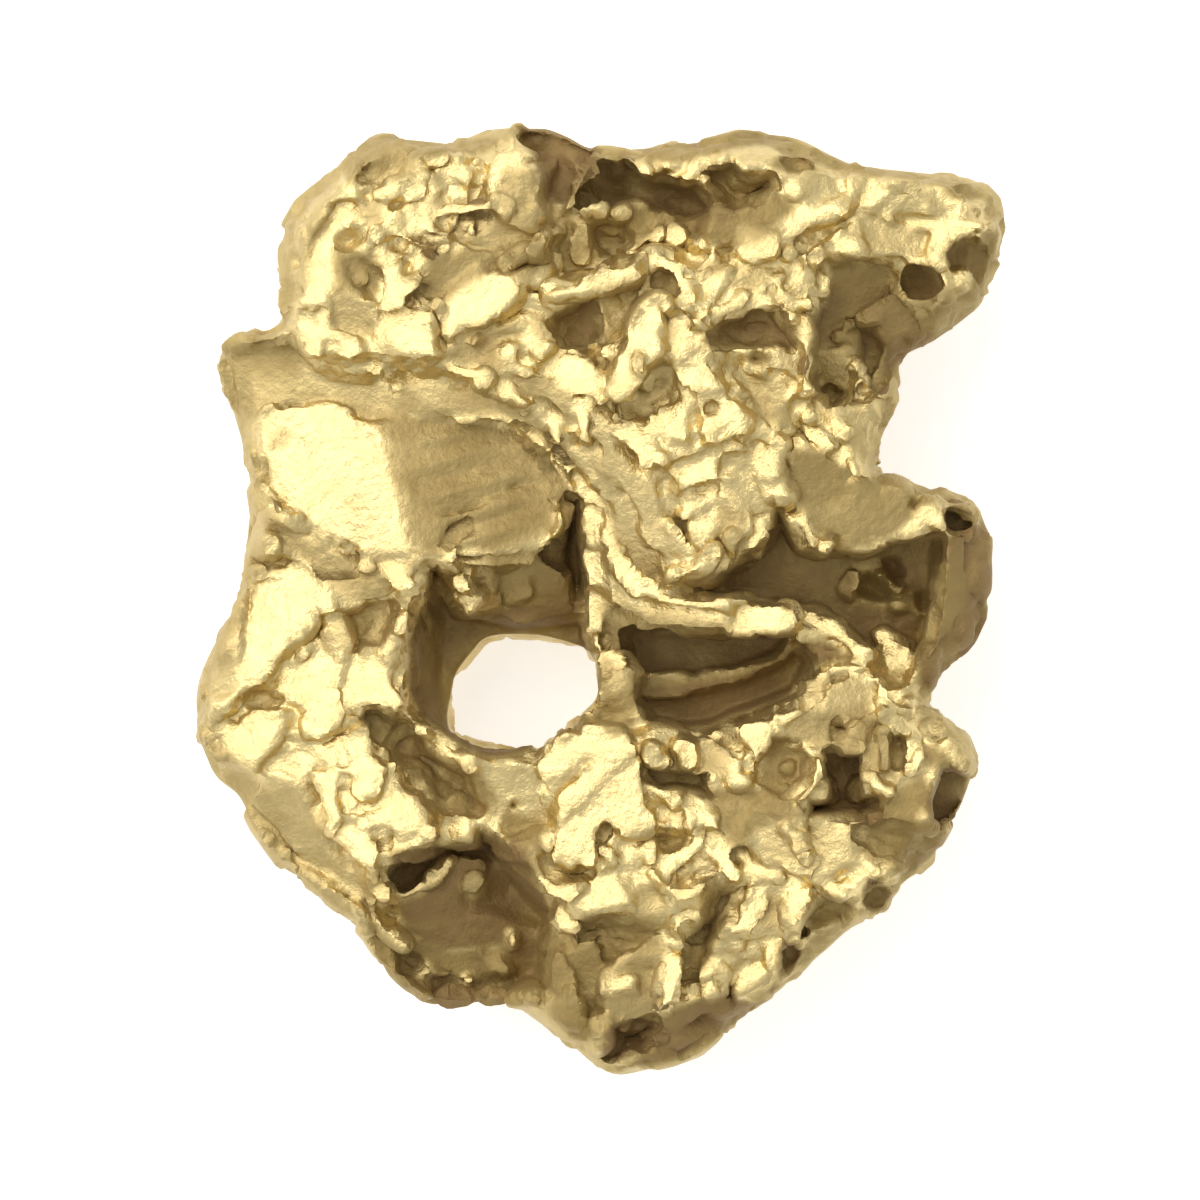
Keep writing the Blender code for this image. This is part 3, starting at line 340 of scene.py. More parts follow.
# %% Plate
OUTLINE = mm(-613, 374, -603, 408, -576, 426, -536, 435, -515, 450, -510, 478, -512, 558, -504, 606,
    -486, 638, -446, 669, -410, 715, -381, 730, -350, 744, -243, 736, -210, 734, -165, 754, -133, 760,
    -85, 758, -53, 746, -10, 725, 78, 725, 101, 731, 155, 731, 221, 749, 267, 749, 320, 742, 381, 712,
    418, 699, 498, 690, 571, 683, 606, 675, 638, 642, 646, 595, 642, 555, 627, 506, 606, 469, 544, 422,
    496, 398, 480, 373, 477, 320, 448, 246, 446, 214, 459, 203, 488, 198, 523, 181, 590, 163, 611, 147,
    624, 102, 626, 27, 618, -26, 597, -66, 550, -120, 531, -146, 533, -168, 594, -222, 605, -258,
    587, -325, 547, -389, 531, -419, 483, -459, 462, -498, 403, -518, 347, -565, 285, -632, 224, -675,
    162, -725, 118, -742, 72, -755, 27, -762, -14, -742, -66, -694, -90, -675, -122, -651, -162, -645,
    -243, -651, -283, -646, -336, -608, -373, -546, -416, -499, -514, -422, -554, -368, -581, -315,
    -619, -282, -643, -219, -648, -142, -622, -74, -590, -19, -565, 58, -555, 134, -565, 206, -594, 317)
HOLE = mm(-240, -155, -232, -118, -206, -83, -178, -58, -102, -56, -42, -70, -14, -86, 8, -136,
    -6, -178, -72, -222, -109, -242, -195, -238, -238, -216, -246, -186)
PLATE_MM = 2.4
GRAIN_MM = 0.043


def smooth_loop(corners, steps=5):
    """A closed loop of points on a smooth curve (Catmull-Rom) through the corners."""
    corners = np.array(corners)
    before, after, beyond = (np.roll(corners, shift, axis=0) for shift in (1, -1, -2))
    turn = 2 * before - 5 * corners + 4 * after - beyond
    twist = 3 * corners - before - 3 * after + beyond
    spans = []
    for t in np.arange(steps) / steps:
        spans.append(0.5 * (2 * corners + (after - before) * t + turn * t**2 + twist * t**3))
    return np.stack(spans, axis=1).reshape(-1, 2)


def plate(name, loops, bottom, top):
    """A flat closed plate between two heights, with every loop after the first as a hole."""
    flat = bmesh.new()
    for loop in loops:
        corners = [flat.verts.new((x, y, top)) for x, y in smooth_loop(loop)]
        for start, end in zip(corners, corners[1:] + corners[:1]):
            flat.edges.new((start, end))
    bmesh.ops.triangle_fill(flat, use_beauty=True, edges=flat.edges)
    bmesh.ops.recalc_face_normals(flat, faces=flat.faces)
    if flat.faces[:][0].normal.z < 0:
        bmesh.ops.reverse_faces(flat, faces=flat.faces)
    grown = bmesh.ops.extrude_face_region(flat, geom=flat.faces[:])
    moved = [item for item in grown["geom"] if isinstance(item, bmesh.types.BMVert)]
    bmesh.ops.translate(flat, verts=moved, vec=(0, 0, bottom - top))
    bmesh.ops.recalc_face_normals(flat, faces=flat.faces)
    mesh = bpy.data.meshes.new(name)
    flat.to_mesh(mesh)
    flat.free()
    return mesh


def finished_by(name, mesh, kind, **settings):
    """The mesh that one modifier makes of another."""
    working = bpy.data.objects.new(name, mesh)
    bpy.context.collection.objects.link(working)
    modifier = working.modifiers.new(kind.title(), kind)
    for key, value in settings.items():
        setattr(modifier, key, value)
    graph = bpy.context.evaluated_depsgraph_get()
    made = bpy.data.meshes.new_from_object(working.evaluated_get(graph))
    bpy.data.objects.remove(working)
    return made


def coordinates(mesh):
    """The places of all points of a mesh, one row each."""
    flat = np.empty(len(mesh.vertices) * 3, np.float32)
    mesh.vertices.foreach_get("co", flat)
    return flat.reshape(-1, 3).astype(float)


def set_coordinates(mesh, places):
    mesh.vertices.foreach_set("co", places.astype(np.float32).ravel())
    mesh.update()


slab = plate("slab", (OUTLINE, HOLE), -PLATE_MM / 2, PLATE_MM / 2)
body = finished_by("body", slab, "REMESH", mode="VOXEL", voxel_size=GRAIN_MM)
places = coordinates(body)
points = places[:, :2]
print("the plate has", len(points), "points")

# %% [markdown]
# ## Front ground
#
# Before any form is cut, the front is a low field of large crystals. It shows between the forms,
# so no part of the metal is plain.

# %% Front ground
NEARER_THE_EYE = 1.0105  # the front stands above the outline, so its strokes look this much larger
FRONT_MM = 3.3

front = Face(points * NEARER_THE_EYE, FRONT_MM)
front.z += crystals(points, 1.1, 0.25, 1.5)
front.tell("front ground")

# %% [markdown]
# ## The left lobe
#
# This lobe was hammered nearly smooth. A wide plane takes the light, a worn edge rolls down on
# the left, and a brown hollow opens towards the big hole. Long facets, cut last, give the plane
# its wandering right-hand border.

# %% The left lobe
front.terrace(mm(-558, 43, -322, 62, -302, -66, -290, -162, -322, -226, -482, -282, -618, -290,
    -634, -146, -606, -42), 3.3, 160, 0.12, 0.5)
front.facet(mm(-562, 62, -570, -18, -578, -114, -606, -162, -642, -170, -634, -98, -606, -50, -578, 14),
    185, 0.75, 0.0, 0.2)
front.sink(mm(-554, 75, -506, 82, -478, 59, -490, 40, -530, 40, -554, 53), 0.3, 0.15)
front.sink(mm(-421, -10, -386, 2, -330, -2, -338, -30, -346, -78, -394, -82, -410, -50), 0.45, 0.25)
front.facet(mm(-565, 35, -506, 43, -478, 78, -458, 69, -434, 38, -410, 3, -429, -11, -453, -16,
    -462, -40, -488, -70, -514, -101, -542, -133, -568, -142, -581, -162, -602, -179, -619, -200,
    -637, -197, -640, -176, -613, -160, -587, -142, -576, -106, -576, -58, -571, -18), 140, 0.42, 0.02)
front.ridge(mm(-434, -37, -482, -74, -510, -110, -542, -139), 0.13, -0.1)
front.sink(mm(-574, -165, -562, -142, -530, -139, -507, -157, -514, -173, -542, -179, -586, -195,
    -603, -194), 0.2, 0.12)
front.facet(mm(-509, -130, -498, -106, -474, -90, -456, -77, -435, -83, -426, -106, -430, -130,
    -418, -154, -410, -170, -418, -194, -450, -218, -474, -222, -477, -202, -474, -181, -490, -162,
    -506, -154), lift=0.06)
front.facet(mm(-418, -162, -413, -138, -408, -106, -389, -90, -362, -94, -341, -107, -326, -136,
    -309, -158, -306, -181, -325, -187, -360, -174, -389, -174, -408, -181), lift=0.12)
front.facet(mm(-619, -221, -562, -187, -522, -181, -502, -197, -520, -234, -541, -266, -549, -291,
    -578, -270, -606, -254), 140, 0.42, 0.12)
front.facet(mm(-501, -229, -410, -226, -418, -258, -482, -282, -533, -293, -542, -270), 160, 0.15, 0.0,
    0.2)
front.facet(mm(-634, -206, -606, -261, -554, -296, -570, -322, -602, -306, -642, -250), 230, 0.9, -0.05,
    0.15)
front.facet(mm(-339, -30, -323, -8, -301, -11, -302, -50, -325, -51), lift=0.2)
front.stain_and_shade(mm(-410, 62, -322, 2, -334, -66, -362, -90, -410, -85, -450, -66, -410, -2), 0.25, 0.15)
front.crest(mm(-606, -21, -584, 14, -568, 53), 0.1, 0.1)
front.tell("left lobe")

# %% [markdown]
# ## The lower pocket
#
# A deep pocket, painted the brownest part of the lower edge with stain and shade. Its upper wall is
# undercut by two deeper sinks. A thin ridge runs down into it, and a few bright grains stand along
# its lower rim.

# %% The lower pocket
front.terrace(mm(-347, -398, -194, -379, -98, -402, -78, -482, -90, -618, -162, -642, -258, -642,
    -322, -602, -366, -538, -366, -466), 2.5, 305, 0.4, 0.35)
front.stain_and_shade(mm(-334, -402, -194, -379, -114, -395, -78, -482, -78, -546, -114, -602, -162, -562,
    -258, -570, -314, -538, -334, -466), 1.0, 0.15)
front.stain_and_shade(mm(-378, -514, -322, -538, -242, -570, -74, -554, -85, -658, -274, -664, -354, -618), 0.85,
    0.15)
front.sink(mm(-341, -430, -314, -403, -250, -395, -192, -374, -154, -382, -114, -402, -126, -434,
    -194, -421, -238, -421, -274, -453, -306, -466, -325, -462), 0.7, 0.2)
front.sink(mm(-184, -427, -126, -418, -93, -474, -82, -530, -130, -522, -162, -506, -210, -501,
    -184, -478), 0.4, 0.25)
front.facet(mm(-328, -474, -298, -456, -274, -440, -248, -414, -234, -418, -248, -443, -274, -466,
    -306, -480, -322, -486), 140, 0.32, 0.3)
front.facet(mm(-386, -477, -373, -482, -350, -517, -325, -541, -306, -554, -315, -563, -341, -546,
    -366, -520), lift=0.3)
front.facet(mm(-382, -440, -354, -442, -333, -461, -330, -475, -346, -482, -370, -469), lift=0.3)
front.facet(oval((-2.05, -4.62), (0.17, 0.2)), 250, 0.3, 0.2)
front.stain_and_shade(oval((-2.05, -4.62), (0.2, 0.22)), -0.35, 0.1)
front.stain_and_shade(mm(-357, -450, -328, -470, -238, -414, -226, -424, -298, -486, -325, -494), -0.35, 0.1)
front.sink(oval((-3.38, -5.09), (0.14, 0.11)), 0.12, 0.12)
front.facet(oval((-1.42, -5.5), (0.13, 0.19)), lift=0.18)
front.facet(mm(-190, -581, -162, -571, -146, -587, -136, -606, -154, -613, -181, -606), 120, 0.35, 0.2)
front.facet(oval((-2.83, -6), (0.15, 0.13)), lift=0.15)
front.facet(oval((-2.13, -6.16), (0.15, 0.13)), lift=0.18)
front.crest(mm(-267, -606, -238, -606), 0.09, 0.15)
front.sink(mm(-325, -571, -290, -581, -293, -594, -315, -590), 0.25, 0.12)
front.tell("lower pocket")

# %% [markdown]
# ## The lower left block
#
# Two bright blocks of crystal stand over a groove that runs from the left lobe down to the middle.
# The groove is one long sink between them. Its upper bank is drawn with narrow facets, so that
# it reads as a cleft and not as a painted band.

# %% The lower left block
front.stain_and_shade(mm(-658, -218, -618, -229, -542, -299, -482, -370, -506, -426, -602, -338), 0.5, 0.15)
front.stain_and_shade(mm(-648, -106, -622, -66, -581, -59, -587, -106, -634, -154), 0.35, 0.15)
front.terrace(mm(-482, -258, -402, -229, -341, -274, -258, -370, -274, -402, -370, -450, -434, -386),
    3.7, 160, 0.25, 0.35)
front.facet(mm(-622, -274, -482, -282, -453, -346, -376, -450, -373, -490, -498, -418, -570, -322), 225,
    0.6, -0.1, 0.25)
front.stain_and_shade(mm(-634, -250, -546, -298, -474, -298, -450, -354, -366, -442, -366, -514, -434, -482,
    -578, -386), 0.3, 0.2)
front.sink(mm(-395, -187, -357, -181, -315, -197, -282, -221, -226, -258, -158, -309, -178, -346,
    -248, -342, -264, -331, -290, -299, -318, -270, -341, -238, -373, -205), 0.6, 0.2)
front.stain_and_shade(mm(-354, -181, -318, -197, -282, -221, -226, -258, -158, -309, -178, -346, -248, -342,
    -290, -299, -318, -270, -341, -238), 0.8, 0.12)
front.facet(mm(-475, -285, -453, -266, -426, -253, -410, -261, -414, -283, -416, -325, -403, -357,
    -378, -373, -352, -381, -346, -402, -355, -430, -370, -435, -400, -422, -419, -395, -443, -354,
    -456, -322), 140, 0.42, 0.14)
front.facet(mm(-402, -234, -382, -218, -366, -235, -344, -270, -347, -306, -366, -323, -389, -323,
    -400, -299, -405, -266), lift=0.1)
front.facet(mm(-344, -277, -320, -283, -290, -314, -269, -347, -283, -368, -322, -374, -347, -363,
    -382, -354, -354, -326), 125, 0.33, 0.04)
front.facet(mm(-322, -171, -309, -174, -283, -200, -267, -216, -277, -224, -302, -206), lift=0.25)
front.facet(mm(-280, -222, -264, -222, -232, -240, -184, -267, -194, -280, -232, -264, -264, -243),
    lift=0.3)
front.facet(mm(-253, -350, -202, -344, -197, -392, -256, -397), lift=0.15)
front.crest(mm(-542, -373, -530, -395), 0.12, 0.1)
front.crest(mm(-517, -411, -488, -437), 0.12, 0.1)
front.tell("lower left block")

# %% [markdown]
# ## The foot of the nugget
#
# The lower tip is a crumbly crust of grains with a dark socket in it. The grains are small facets
# set one by one. The right flank falls away in one plane, as it was sheared.

# %% The foot of the nugget
front.terrace(mm(-74, -546, 62, -522, 190, -538, 270, -466, 398, -482, 334, -578, 222, -661, 78, -738,
    -2, -730, -66, -658), 3.5, 300, 0.2, 0.5)
front.stain_and_shade(mm(98, -666, 158, -642, 254, -618, 302, -618, 242, -677, 142, -741, -2, -766, 62, -738),
    0.95, 0.15)
front.stain_and_shade(mm(-26, -504, 98, -506, 90, -554, 18, -565, -2, -597, -14, -642, -18, -706, -50, -706,
    -85, -658, -66, -638, -34, -622, -24, -562, -37, -533), 0.75, 0.12)
front.sink(mm(-90, -522, -2, -539, 70, -554, 27, -581, -18, -603, -69, -581), 0.3, 0.2)
front.sink(mm(-42, -522, 62, -506, 94, -522, 78, -554, 30, -562, -5, -597, -37, -618, -46, -562), 0.3,
    0.25)
front.sink(mm(139, -538, 178, -490, 194, -538, 178, -578, 158, -602, 139, -622, 128, -602, 134, -570),
    0.35, 0.2)
front.stain_and_shade(mm(142, -546, 182, -450, 226, -453, 194, -530, 178, -578, 146, -622, 128, -602), 0.8, 0.12)
front.sink(mm(14, -683, 30, -677, 62, -674, 86, -677, 96, -686, 86, -709, 82, -725, 46, -731, 30, -741,
    11, -746, 2, -730, 18, -714), 0.8, 0.12)
front.stain_and_shade(mm(11, -680, 62, -670, 96, -683, 86, -725, 30, -744, 5, -750, 2, -730), 1.0, 0.08)
front.facet(mm(-2, -618, 18, -603, 56, -603, 58, -626, 30, -635, 5, -638, -14, -643, -26, -634),
    lift=0.12)
front.facet(mm(21, -574, 38, -565, 59, -570, 50, -582, 30, -584), lift=0.07)
front.stain_and_shade(mm(86, -546, 107, -562, 134, -581, 138, -626, 114, -662), -0.6, 0.1)
front.facet(mm(85, -552, 107, -562, 128, -578, 138, -597, 131, -626, 128, -643, 114, -662, 99, -675,
    85, -661, 91, -634, 96, -602, 101, -581), 140, 0.42, 0.25)
front.facet(mm(-14, -666, -2, -658, 16, -666, 10, -694, -3, -694), lift=0.09)
front.crest(mm(46, -672, 37, -694), 0.09, 0.3)
front.facet(mm(-35, -715, -21, -707, -8, -730, 3, -750, -14, -750), lift=0.06)
front.facet(mm(107, -658, 251, -618, 230, -670, 126, -734, 94, -722), 300, 0.7, -0.15, 0.2)
front.facet(oval((1.79, -6.26), (0.18, 0.14), 20), lift=0.15)
front.facet(mm(155, -594, 190, -570, 206, -586, 194, -603, 165, -610), 110, 0.3, 0.1)
front.sink(mm(200, -610, 224, -616, 219, -643, 200, -642), 0.35, 0.12)
front.facet(mm(206, -589, 235, -602, 262, -587, 288, -594, 291, -611, 270, -627, 278, -640, 251, -648,
    224, -642, 218, -626, 230, -618, 213, -606), lift=0.12)
front.facet(mm(256, -533, 262, -515, 278, -514, 290, -530, 288, -554, 293, -578, 286, -592, 272, -587,
    266, -562, 258, -549), lift=0.15)
front.facet(oval((2.19, -5.54), (0.13, 0.12)), lift=0.12)
front.facet(mm(197, -538, 219, -506, 242, -478, 251, -456, 275, -456, 267, -483, 246, -515, 226, -534,
    210, -544), lift=0.12)
front.crest(mm(296, -490, 302, -522, 314, -549), 0.11, 0.2)
front.facet(mm(-42, -546, -2, -538, 8, -594, 5, -658, -18, -682, -42, -626), 250, 0.4, -0.05, 0.15)
front.facet(oval((-0.66, -5.97), (0.2, 0.4)), 230, 0.3, 0.1, 0.12)
front.stain_and_shade(mm(-66, -539, 86, -494, 107, -562, 86, -661, -2, -706, -66, -690, -90, -642), 0.6, 0.2)
front.stain_and_shade(mm(-82, -536, -18, -517, 62, -517, 86, -538, 62, -558, 18, -566, 11, -597, -26, -626,
    -66, -645, -90, -618), 0.85, 0.15)
front.stain_and_shade(mm(-74, -642, -18, -645, -2, -706, -34, -714, -82, -674), 0.8, 0.15)
front.stain_and_shade(mm(-2, -618, 18, -603, 56, -603, 58, -626, 30, -635, 5, -638, -14, -643, -26, -634), -0.7,
    0.1)
front.sink(oval((3.28, -5.3), (0.11, 0.13)), 0.45, 0.1)
front.sink(mm(291, -555, 310, -549, 323, -570, 314, -590, 293, -606, 285, -581), 0.5, 0.12)
front.stain_and_shade(mm(291, -552, 314, -546, 331, -570, 318, -597, 293, -616, 282, -581), 0.95, 0.1)
front.tell("foot of the nugget")

# %% [markdown]
# ## The lower centre mass
#
# Below the hole stands one large rounded crystal face, the brightest of the lower half. Its edge
# breaks down to the right in steps, with small pits between them. The mass is a single low ramp,
# and the steps are crests and facets around it.

# %% The lower centre mass
front.terrace(mm(-194, -266, -90, -258, -18, -218, 94, -218, 254, -234, 254, -402, 190, -522, 62, -522,
    -90, -490, -162, -402), 3.7, 100, 0.08, 0.5)
front.facet(mm(-200, -261, -98, -266, -72, -366, -178, -382), 255, 0.25, -0.25, 0.2)
front.stain_and_shade(mm(-158, -341, -85, -341, -85, -402, -149, -398), 0.85, 0.15)
front.sink(oval((-1.39, -3.28), (0.12, 0.1)), 0.3, 0.1)
front.facet(oval((-1.71, -3.66), (0.15, 0.1)), lift=0.09)
front.sink(mm(-98, -405, -69, -418, -42, -427, -11, -430, -5, -443, -42, -450, -85, -437), 0.25, 0.14)
front.ramp(mm(-102, -253, -85, -238, -58, -222, -18, -205, 34, -208, 50, -234, 62, -266, 72, -290,
    77, -322, 88, -354, 83, -371, 46, -373, 22, -365, 11, -355, -2, -366, -13, -382, -16, -402,
    -10, -419, -34, -422, -46, -429, -67, -414, -62, -386, -66, -354, -72, -322, -62, -298, -90, -293,
    -101, -288), 3.9, 0.25, 0.15)
front.ridge(mm(-90, -293, -62, -294, -5, -251), 0.1, -0.07)
front.sink(mm(-13, -402, -5, -379, 8, -363, 21, -371, 11, -382, -2, -395), 0.15, 0.1)
front.facet(oval((-0.86, -3.87), (0.09, 0.16)), lift=0.12)
front.crest(mm(5, -395, 21, -414, 30, -429), 0.1, 0.15)
front.facet(mm(-109, -443, -85, -443, -42, -459, -10, -466, -2, -453, 6, -432, 24, -440, 40, -454,
    53, -474, 56, -490, 34, -496, -2, -501, -42, -499, -74, -490, -93, -472), UP_LEFT, 0.4, 0.12)
front.facet(mm(-82, -483, -62, -488, -42, -509, -29, -531, -42, -539, -72, -536, -78, -507), lift=0.25)
front.sink(mm(74, -270, 94, -264, 142, -270, 162, -277, 179, -290, 186, -315, 171, -318, 142, -314,
    110, -306, 86, -291), 0.55, 0.14)
front.crest(mm(83, -232, 86, -254, 107, -266), 0.12, 0.25)
front.crest(mm(125, -227, 142, -238, 144, -267), 0.12, 0.25)
front.sink(mm(101, -234, 120, -229, 120, -258, 107, -254), 0.25, 0.1)
front.facet(mm(72, -277, 86, -290, 114, -306, 142, -314, 142, -339, 110, -326, 82, -309), lift=0.15,
    soft=0.12)
front.facet(mm(139, -312, 168, -322, 190, -344, 198, -376, 171, -379, 158, -357, 139, -339), lift=0.15,
    soft=0.12)
front.facet(mm(133, -331, 154, -334, 157, -366, 146, -376, 133, -366), lift=0.12)
front.sink(mm(75, -374, 107, -370, 142, -373, 147, -382, 126, -395, 101, -405, 88, -389), 0.3, 0.12)
front.facet(mm(58, -389, 86, -390, 94, -411, 75, -418, 62, -405), lift=0.12)
front.facet(mm(78, -430, 94, -411, 126, -398, 154, -382, 168, -394, 149, -422, 123, -437, 104, -451,
    86, -446), lift=0.05)
front.sink(mm(123, -443, 146, -421, 178, -405, 181, -434, 158, -442, 142, -451), 0.08, 0.12)
front.facet(mm(82, -437, 107, -446, 134, -450, 158, -440, 181, -440, 178, -466, 158, -483, 142, -488,
    120, -488, 101, -470), UP_LEFT, 0.35, 0.3)
front.stain_and_shade(mm(62, -459, 94, -456, 110, -482, 107, -522, 70, -522), 0.5, 0.12)
front.facet(mm(118, -501, 142, -486, 160, -494, 155, -514, 134, -523, 128, -539, 112, -530), lift=0.1)
front.sink(mm(181, -456, 226, -456, 214, -490, 190, -526, 162, -530, 162, -490, 174, -470), 0.5, 0.16)
front.facet(mm(173, -238, 194, -224, 210, -234, 216, -251, 230, -274, 248, -290, 240, -304, 214, -302,
    197, -283, 184, -258), lift=0.12)
front.facet(mm(216, -197, 254, -190, 277, -203, 269, -238, 248, -262, 232, -235), 132, 0.42, 0.2)
front.facet(mm(270, -190, 322, -168, 331, -181, 286, -213, 274, -213), 132, 0.42, 0.2)
front.sink(mm(216, -309, 267, -302, 302, -322, 270, -341, 230, -334), 0.15, 0.2)
front.stain_and_shade(mm(158, -302, 262, -302, 322, -322, 318, -354, 246, -357, 235, -402, 206, -394, 194, -341),
    0.8, 0.15)
front.tell("lower centre mass")

# %% [markdown]
# ## The crown of pits
#
# The lower right lobe carries a ring of pits: a round one with a raised rim, a square and very
# dark one beside it, and smaller ones out to the edge. Crests between them are what is left of
# the walls that the pits share.

# %% The crown of pits
front.stain_and_shade(mm(152, -218, 190, -218, 214, -261, 203, -286, 166, -274), 0.45, 0.12)
front.stain_and_shade(mm(194, -318, 302, -309, 318, -341, 286, -357, 214, -389, 187, -382), 0.55, 0.12)
front.terrace(mm(254, -218, 334, -146, 446, -114, 550, -186, 598, -274, 542, -386, 478, -458, 318, -450,
    238, -386), 3.8, 45, 0.08, 0.6)
front.stain_and_shade(mm(342, -171, 424, -162, 478, -229, 478, -290, 427, -282, 424, -245, 360, -245, 302, -210),
    0.6, 0.15)
front.stain_and_shade(mm(459, -314, 518, -282, 558, -314, 566, -389, 518, -437, 478, -456, 418, -402, 434, -354),
    0.85, 0.12)
front.stain_and_shade(mm(274, -218, 318, -218, 338, -250, 328, -298, 294, -322, 254, -309), 0.85, 0.1)
front.stain_and_shade(mm(254, -346, 414, -350, 434, -402, 366, -430, 270, -427), 0.25, 0.2)
front.facet(mm(366, -123, 440, -120, 453, -181, 341, -187, 360, -146), 60, 0.3, 0.0, 0.18)
front.facet(mm(328, -171, 330, -133, 349, -104, 373, -102, 370, -130, 349, -154), lift=0.12)
front.facet(mm(437, -122, 456, -115, 469, -141, 472, -176, 456, -182, 443, -154), lift=0.12)
front.facet(mm(370, -99, 437, -101, 440, -114, 376, -114), 120, 0.42, 0.12)
front.sink(mm(277, -221, 302, -216, 333, -237, 336, -274, 315, -302, 294, -312, 262, -299, 256, -266),
    0.4, 0.16)
front.facet(oval((2.99, -2.7), (0.16, 0.15)), 200, 0.3, 0.15)
front.facet(oval((3.14, -2.34), (0.12, 0.07)), lift=0.09)
front.facet(mm(338, -242, 354, -243, 362, -266, 354, -291, 334, -318, 315, -331, 309, -318, 328, -298,
    342, -274), lift=0.25)
front.sink(oval((3.9, -2.05), (0.15, 0.14)), 0.55, 0.1)
front.sink(mm(398, -181, 434, -186, 427, -203, 408, -197), 0.25, 0.12)
front.crest(mm(370, -222, 395, -237, 424, -229), 0.1, 0.1)
front.sink(mm(365, -243, 422, -243, 422, -318, 448, -315, 448, -347, 331, -349, 338, -322, 365, -318),
    0.95, 0.12)
front.stain_and_shade(mm(365, -243, 422, -243, 424, -318, 453, -315, 451, -347, 331, -349, 338, -322, 365, -318),
    1.0, 0.08)
front.crest(mm(395, -357, 434, -350), 0.1, 0.15)
front.facet(mm(429, -280, 445, -275, 458, -291, 478, -294, 475, -312, 459, -323, 442, -307), lift=0.2)
front.crest(mm(453, -206, 458, -274), 0.1, 0.2)
front.sink(mm(469, -214, 488, -218, 486, -266, 472, -270), 0.3, 0.12)
front.facet(mm(502, -234, 520, -227, 528, -250, 515, -274, 498, -285, 483, -275, 486, -266, 501, -259),
    lift=0.15)
front.crest(mm(453, -178, 478, -200, 502, -216), 0.11, 0.15)
front.facet(mm(514, -197, 539, -189, 566, -210, 587, -234, 602, -258, 602, -286, 584, -277, 562, -245,
    539, -226), 120, 0.4, 0.15)
front.stain_and_shade(mm(518, -232, 542, -232, 565, -254, 584, -282, 550, -274, 526, -267), 0.75, 0.1)
front.stain_and_shade(mm(547, -267, 571, -264, 597, -283, 603, -309, 584, -347, 555, -366, 533, -357, 526, -322,
    539, -293), 1.0, 0.08)
front.terrace(mm(550, -269, 571, -267, 603, -286, 600, -318, 574, -350, 550, -363, 531, -354, 528, -322,
    539, -293), 2.0, 0, 0.0, 0.14)
front.facet(oval((5.17, -3.47), (0.1, 0.1)), lift=0.09)
front.sink(mm(406, -366, 446, -357, 518, -363, 541, -378, 534, -411, 510, -432, 486, -421, 462, -402,
    446, -405, 443, -394, 411, -382), 0.45, 0.2)
front.facet(mm(242, -357, 318, -350, 408, -363, 402, -421, 318, -437, 254, -421), 190, 0.25, -0.05, 0.3)
front.facet(mm(194, -405, 230, -402, 267, -430, 306, -437, 302, -462, 267, -462, 230, -453, 206, -434),
    150, 0.35, 0.08)
front.terrace(mm(242, -456, 302, -456, 318, -530, 254, -538, 222, -530), 3.6, 180, 0.2, 0.2)
front.stain_and_shade(mm(267, -462, 296, -478, 294, -523, 262, -533, 254, -501), 0.55, 0.12)
front.facet(mm(200, -539, 219, -506, 242, -478, 251, -456, 278, -456, 269, -483, 248, -515, 227, -536),
    lift=0.12, soft=0.12)
front.facet(mm(171, -370, 197, -373, 214, -406, 234, -438, 226, -459, 203, -454, 184, -421), lift=0.12,
    soft=0.12)
front.crest(mm(290, -357, 328, -398, 347, -430), 0.12, 0.15)
front.facet(mm(293, -427, 315, -434, 336, -459, 338, -486, 315, -515, 299, -520, 296, -490, 299, -458),
    lift=0.15)
front.facet(mm(362, -445, 384, -456, 403, -438, 424, -419, 440, -424, 430, -450, 411, -470, 386, -475,
    366, -467), lift=0.2)
front.facet(mm(442, -418, 461, -421, 482, -446, 477, -466, 459, -459, 446, -440), lift=0.15)
front.sink(mm(422, -466, 434, -446, 446, -443, 462, -462, 474, -474, 459, -496, 443, -502, 426, -485),
    0.6, 0.12)
front.stain_and_shade(mm(422, -466, 434, -446, 446, -440, 462, -459, 478, -475, 462, -504, 440, -507, 422, -490),
    0.95, 0.08)
front.sink(mm(342, -478, 363, -470, 390, -478, 408, -490, 395, -512, 342, -530, 326, -507), 0.35, 0.15)
front.stain_and_shade(mm(339, -482, 363, -469, 390, -475, 418, -490, 395, -517, 338, -536, 323, -507), 0.75, 0.1)
front.tell("crown of pits")

# %% [markdown]
# ## The upper left lobe
#
# Crystals grew here in rows, and later blows pressed their tips flat. Bright facets alternate with
# khaki dishes. Each is cut at a slightly different height, so thin shadows part them.

# %% The upper left lobe
front.terrace(mm(-482, 630, -402, 710, -194, 726, -98, 718, -66, 614, -85, 494, -130, 398, -258, 363,
    -410, 370, -477, 422), 3.85, 130, 0.1, 0.8)
front.facet(mm(-475, 539, -459, 578, -430, 616, -418, 635, -392, 629, -376, 613, -402, 597, -422, 571,
    -429, 539, -437, 494, -435, 456, -477, 456), 145, 0.42, 0.0, 0.12)
front.facet(mm(-477, 469, -435, 469, -432, 418, -434, 382, -456, 379, -475, 406), 145, 0.42, 0.05, 0.12)
front.facet(mm(-440, 418, -379, 411, -376, 392, -430, 379, -446, 382), 145, 0.42, 0.05, 0.12)
front.facet(mm(-422, 664, -408, 691, -386, 712, -371, 706, -390, 683, -387, 658, -378, 638, -398, 640,
    -413, 651), 138, 0.42, 0.1)
front.facet(mm(-386, 674, -373, 696, -344, 715, -318, 731, -299, 722, -306, 699, -318, 677, -347, 670),
    300, 0.2, -0.15)
front.stain_and_shade(mm(-418, 718, -350, 754, -242, 744, -242, 725, -282, 718, -302, 677, -347, 667, -386, 670,
    -382, 702), 0.45, 0.12)
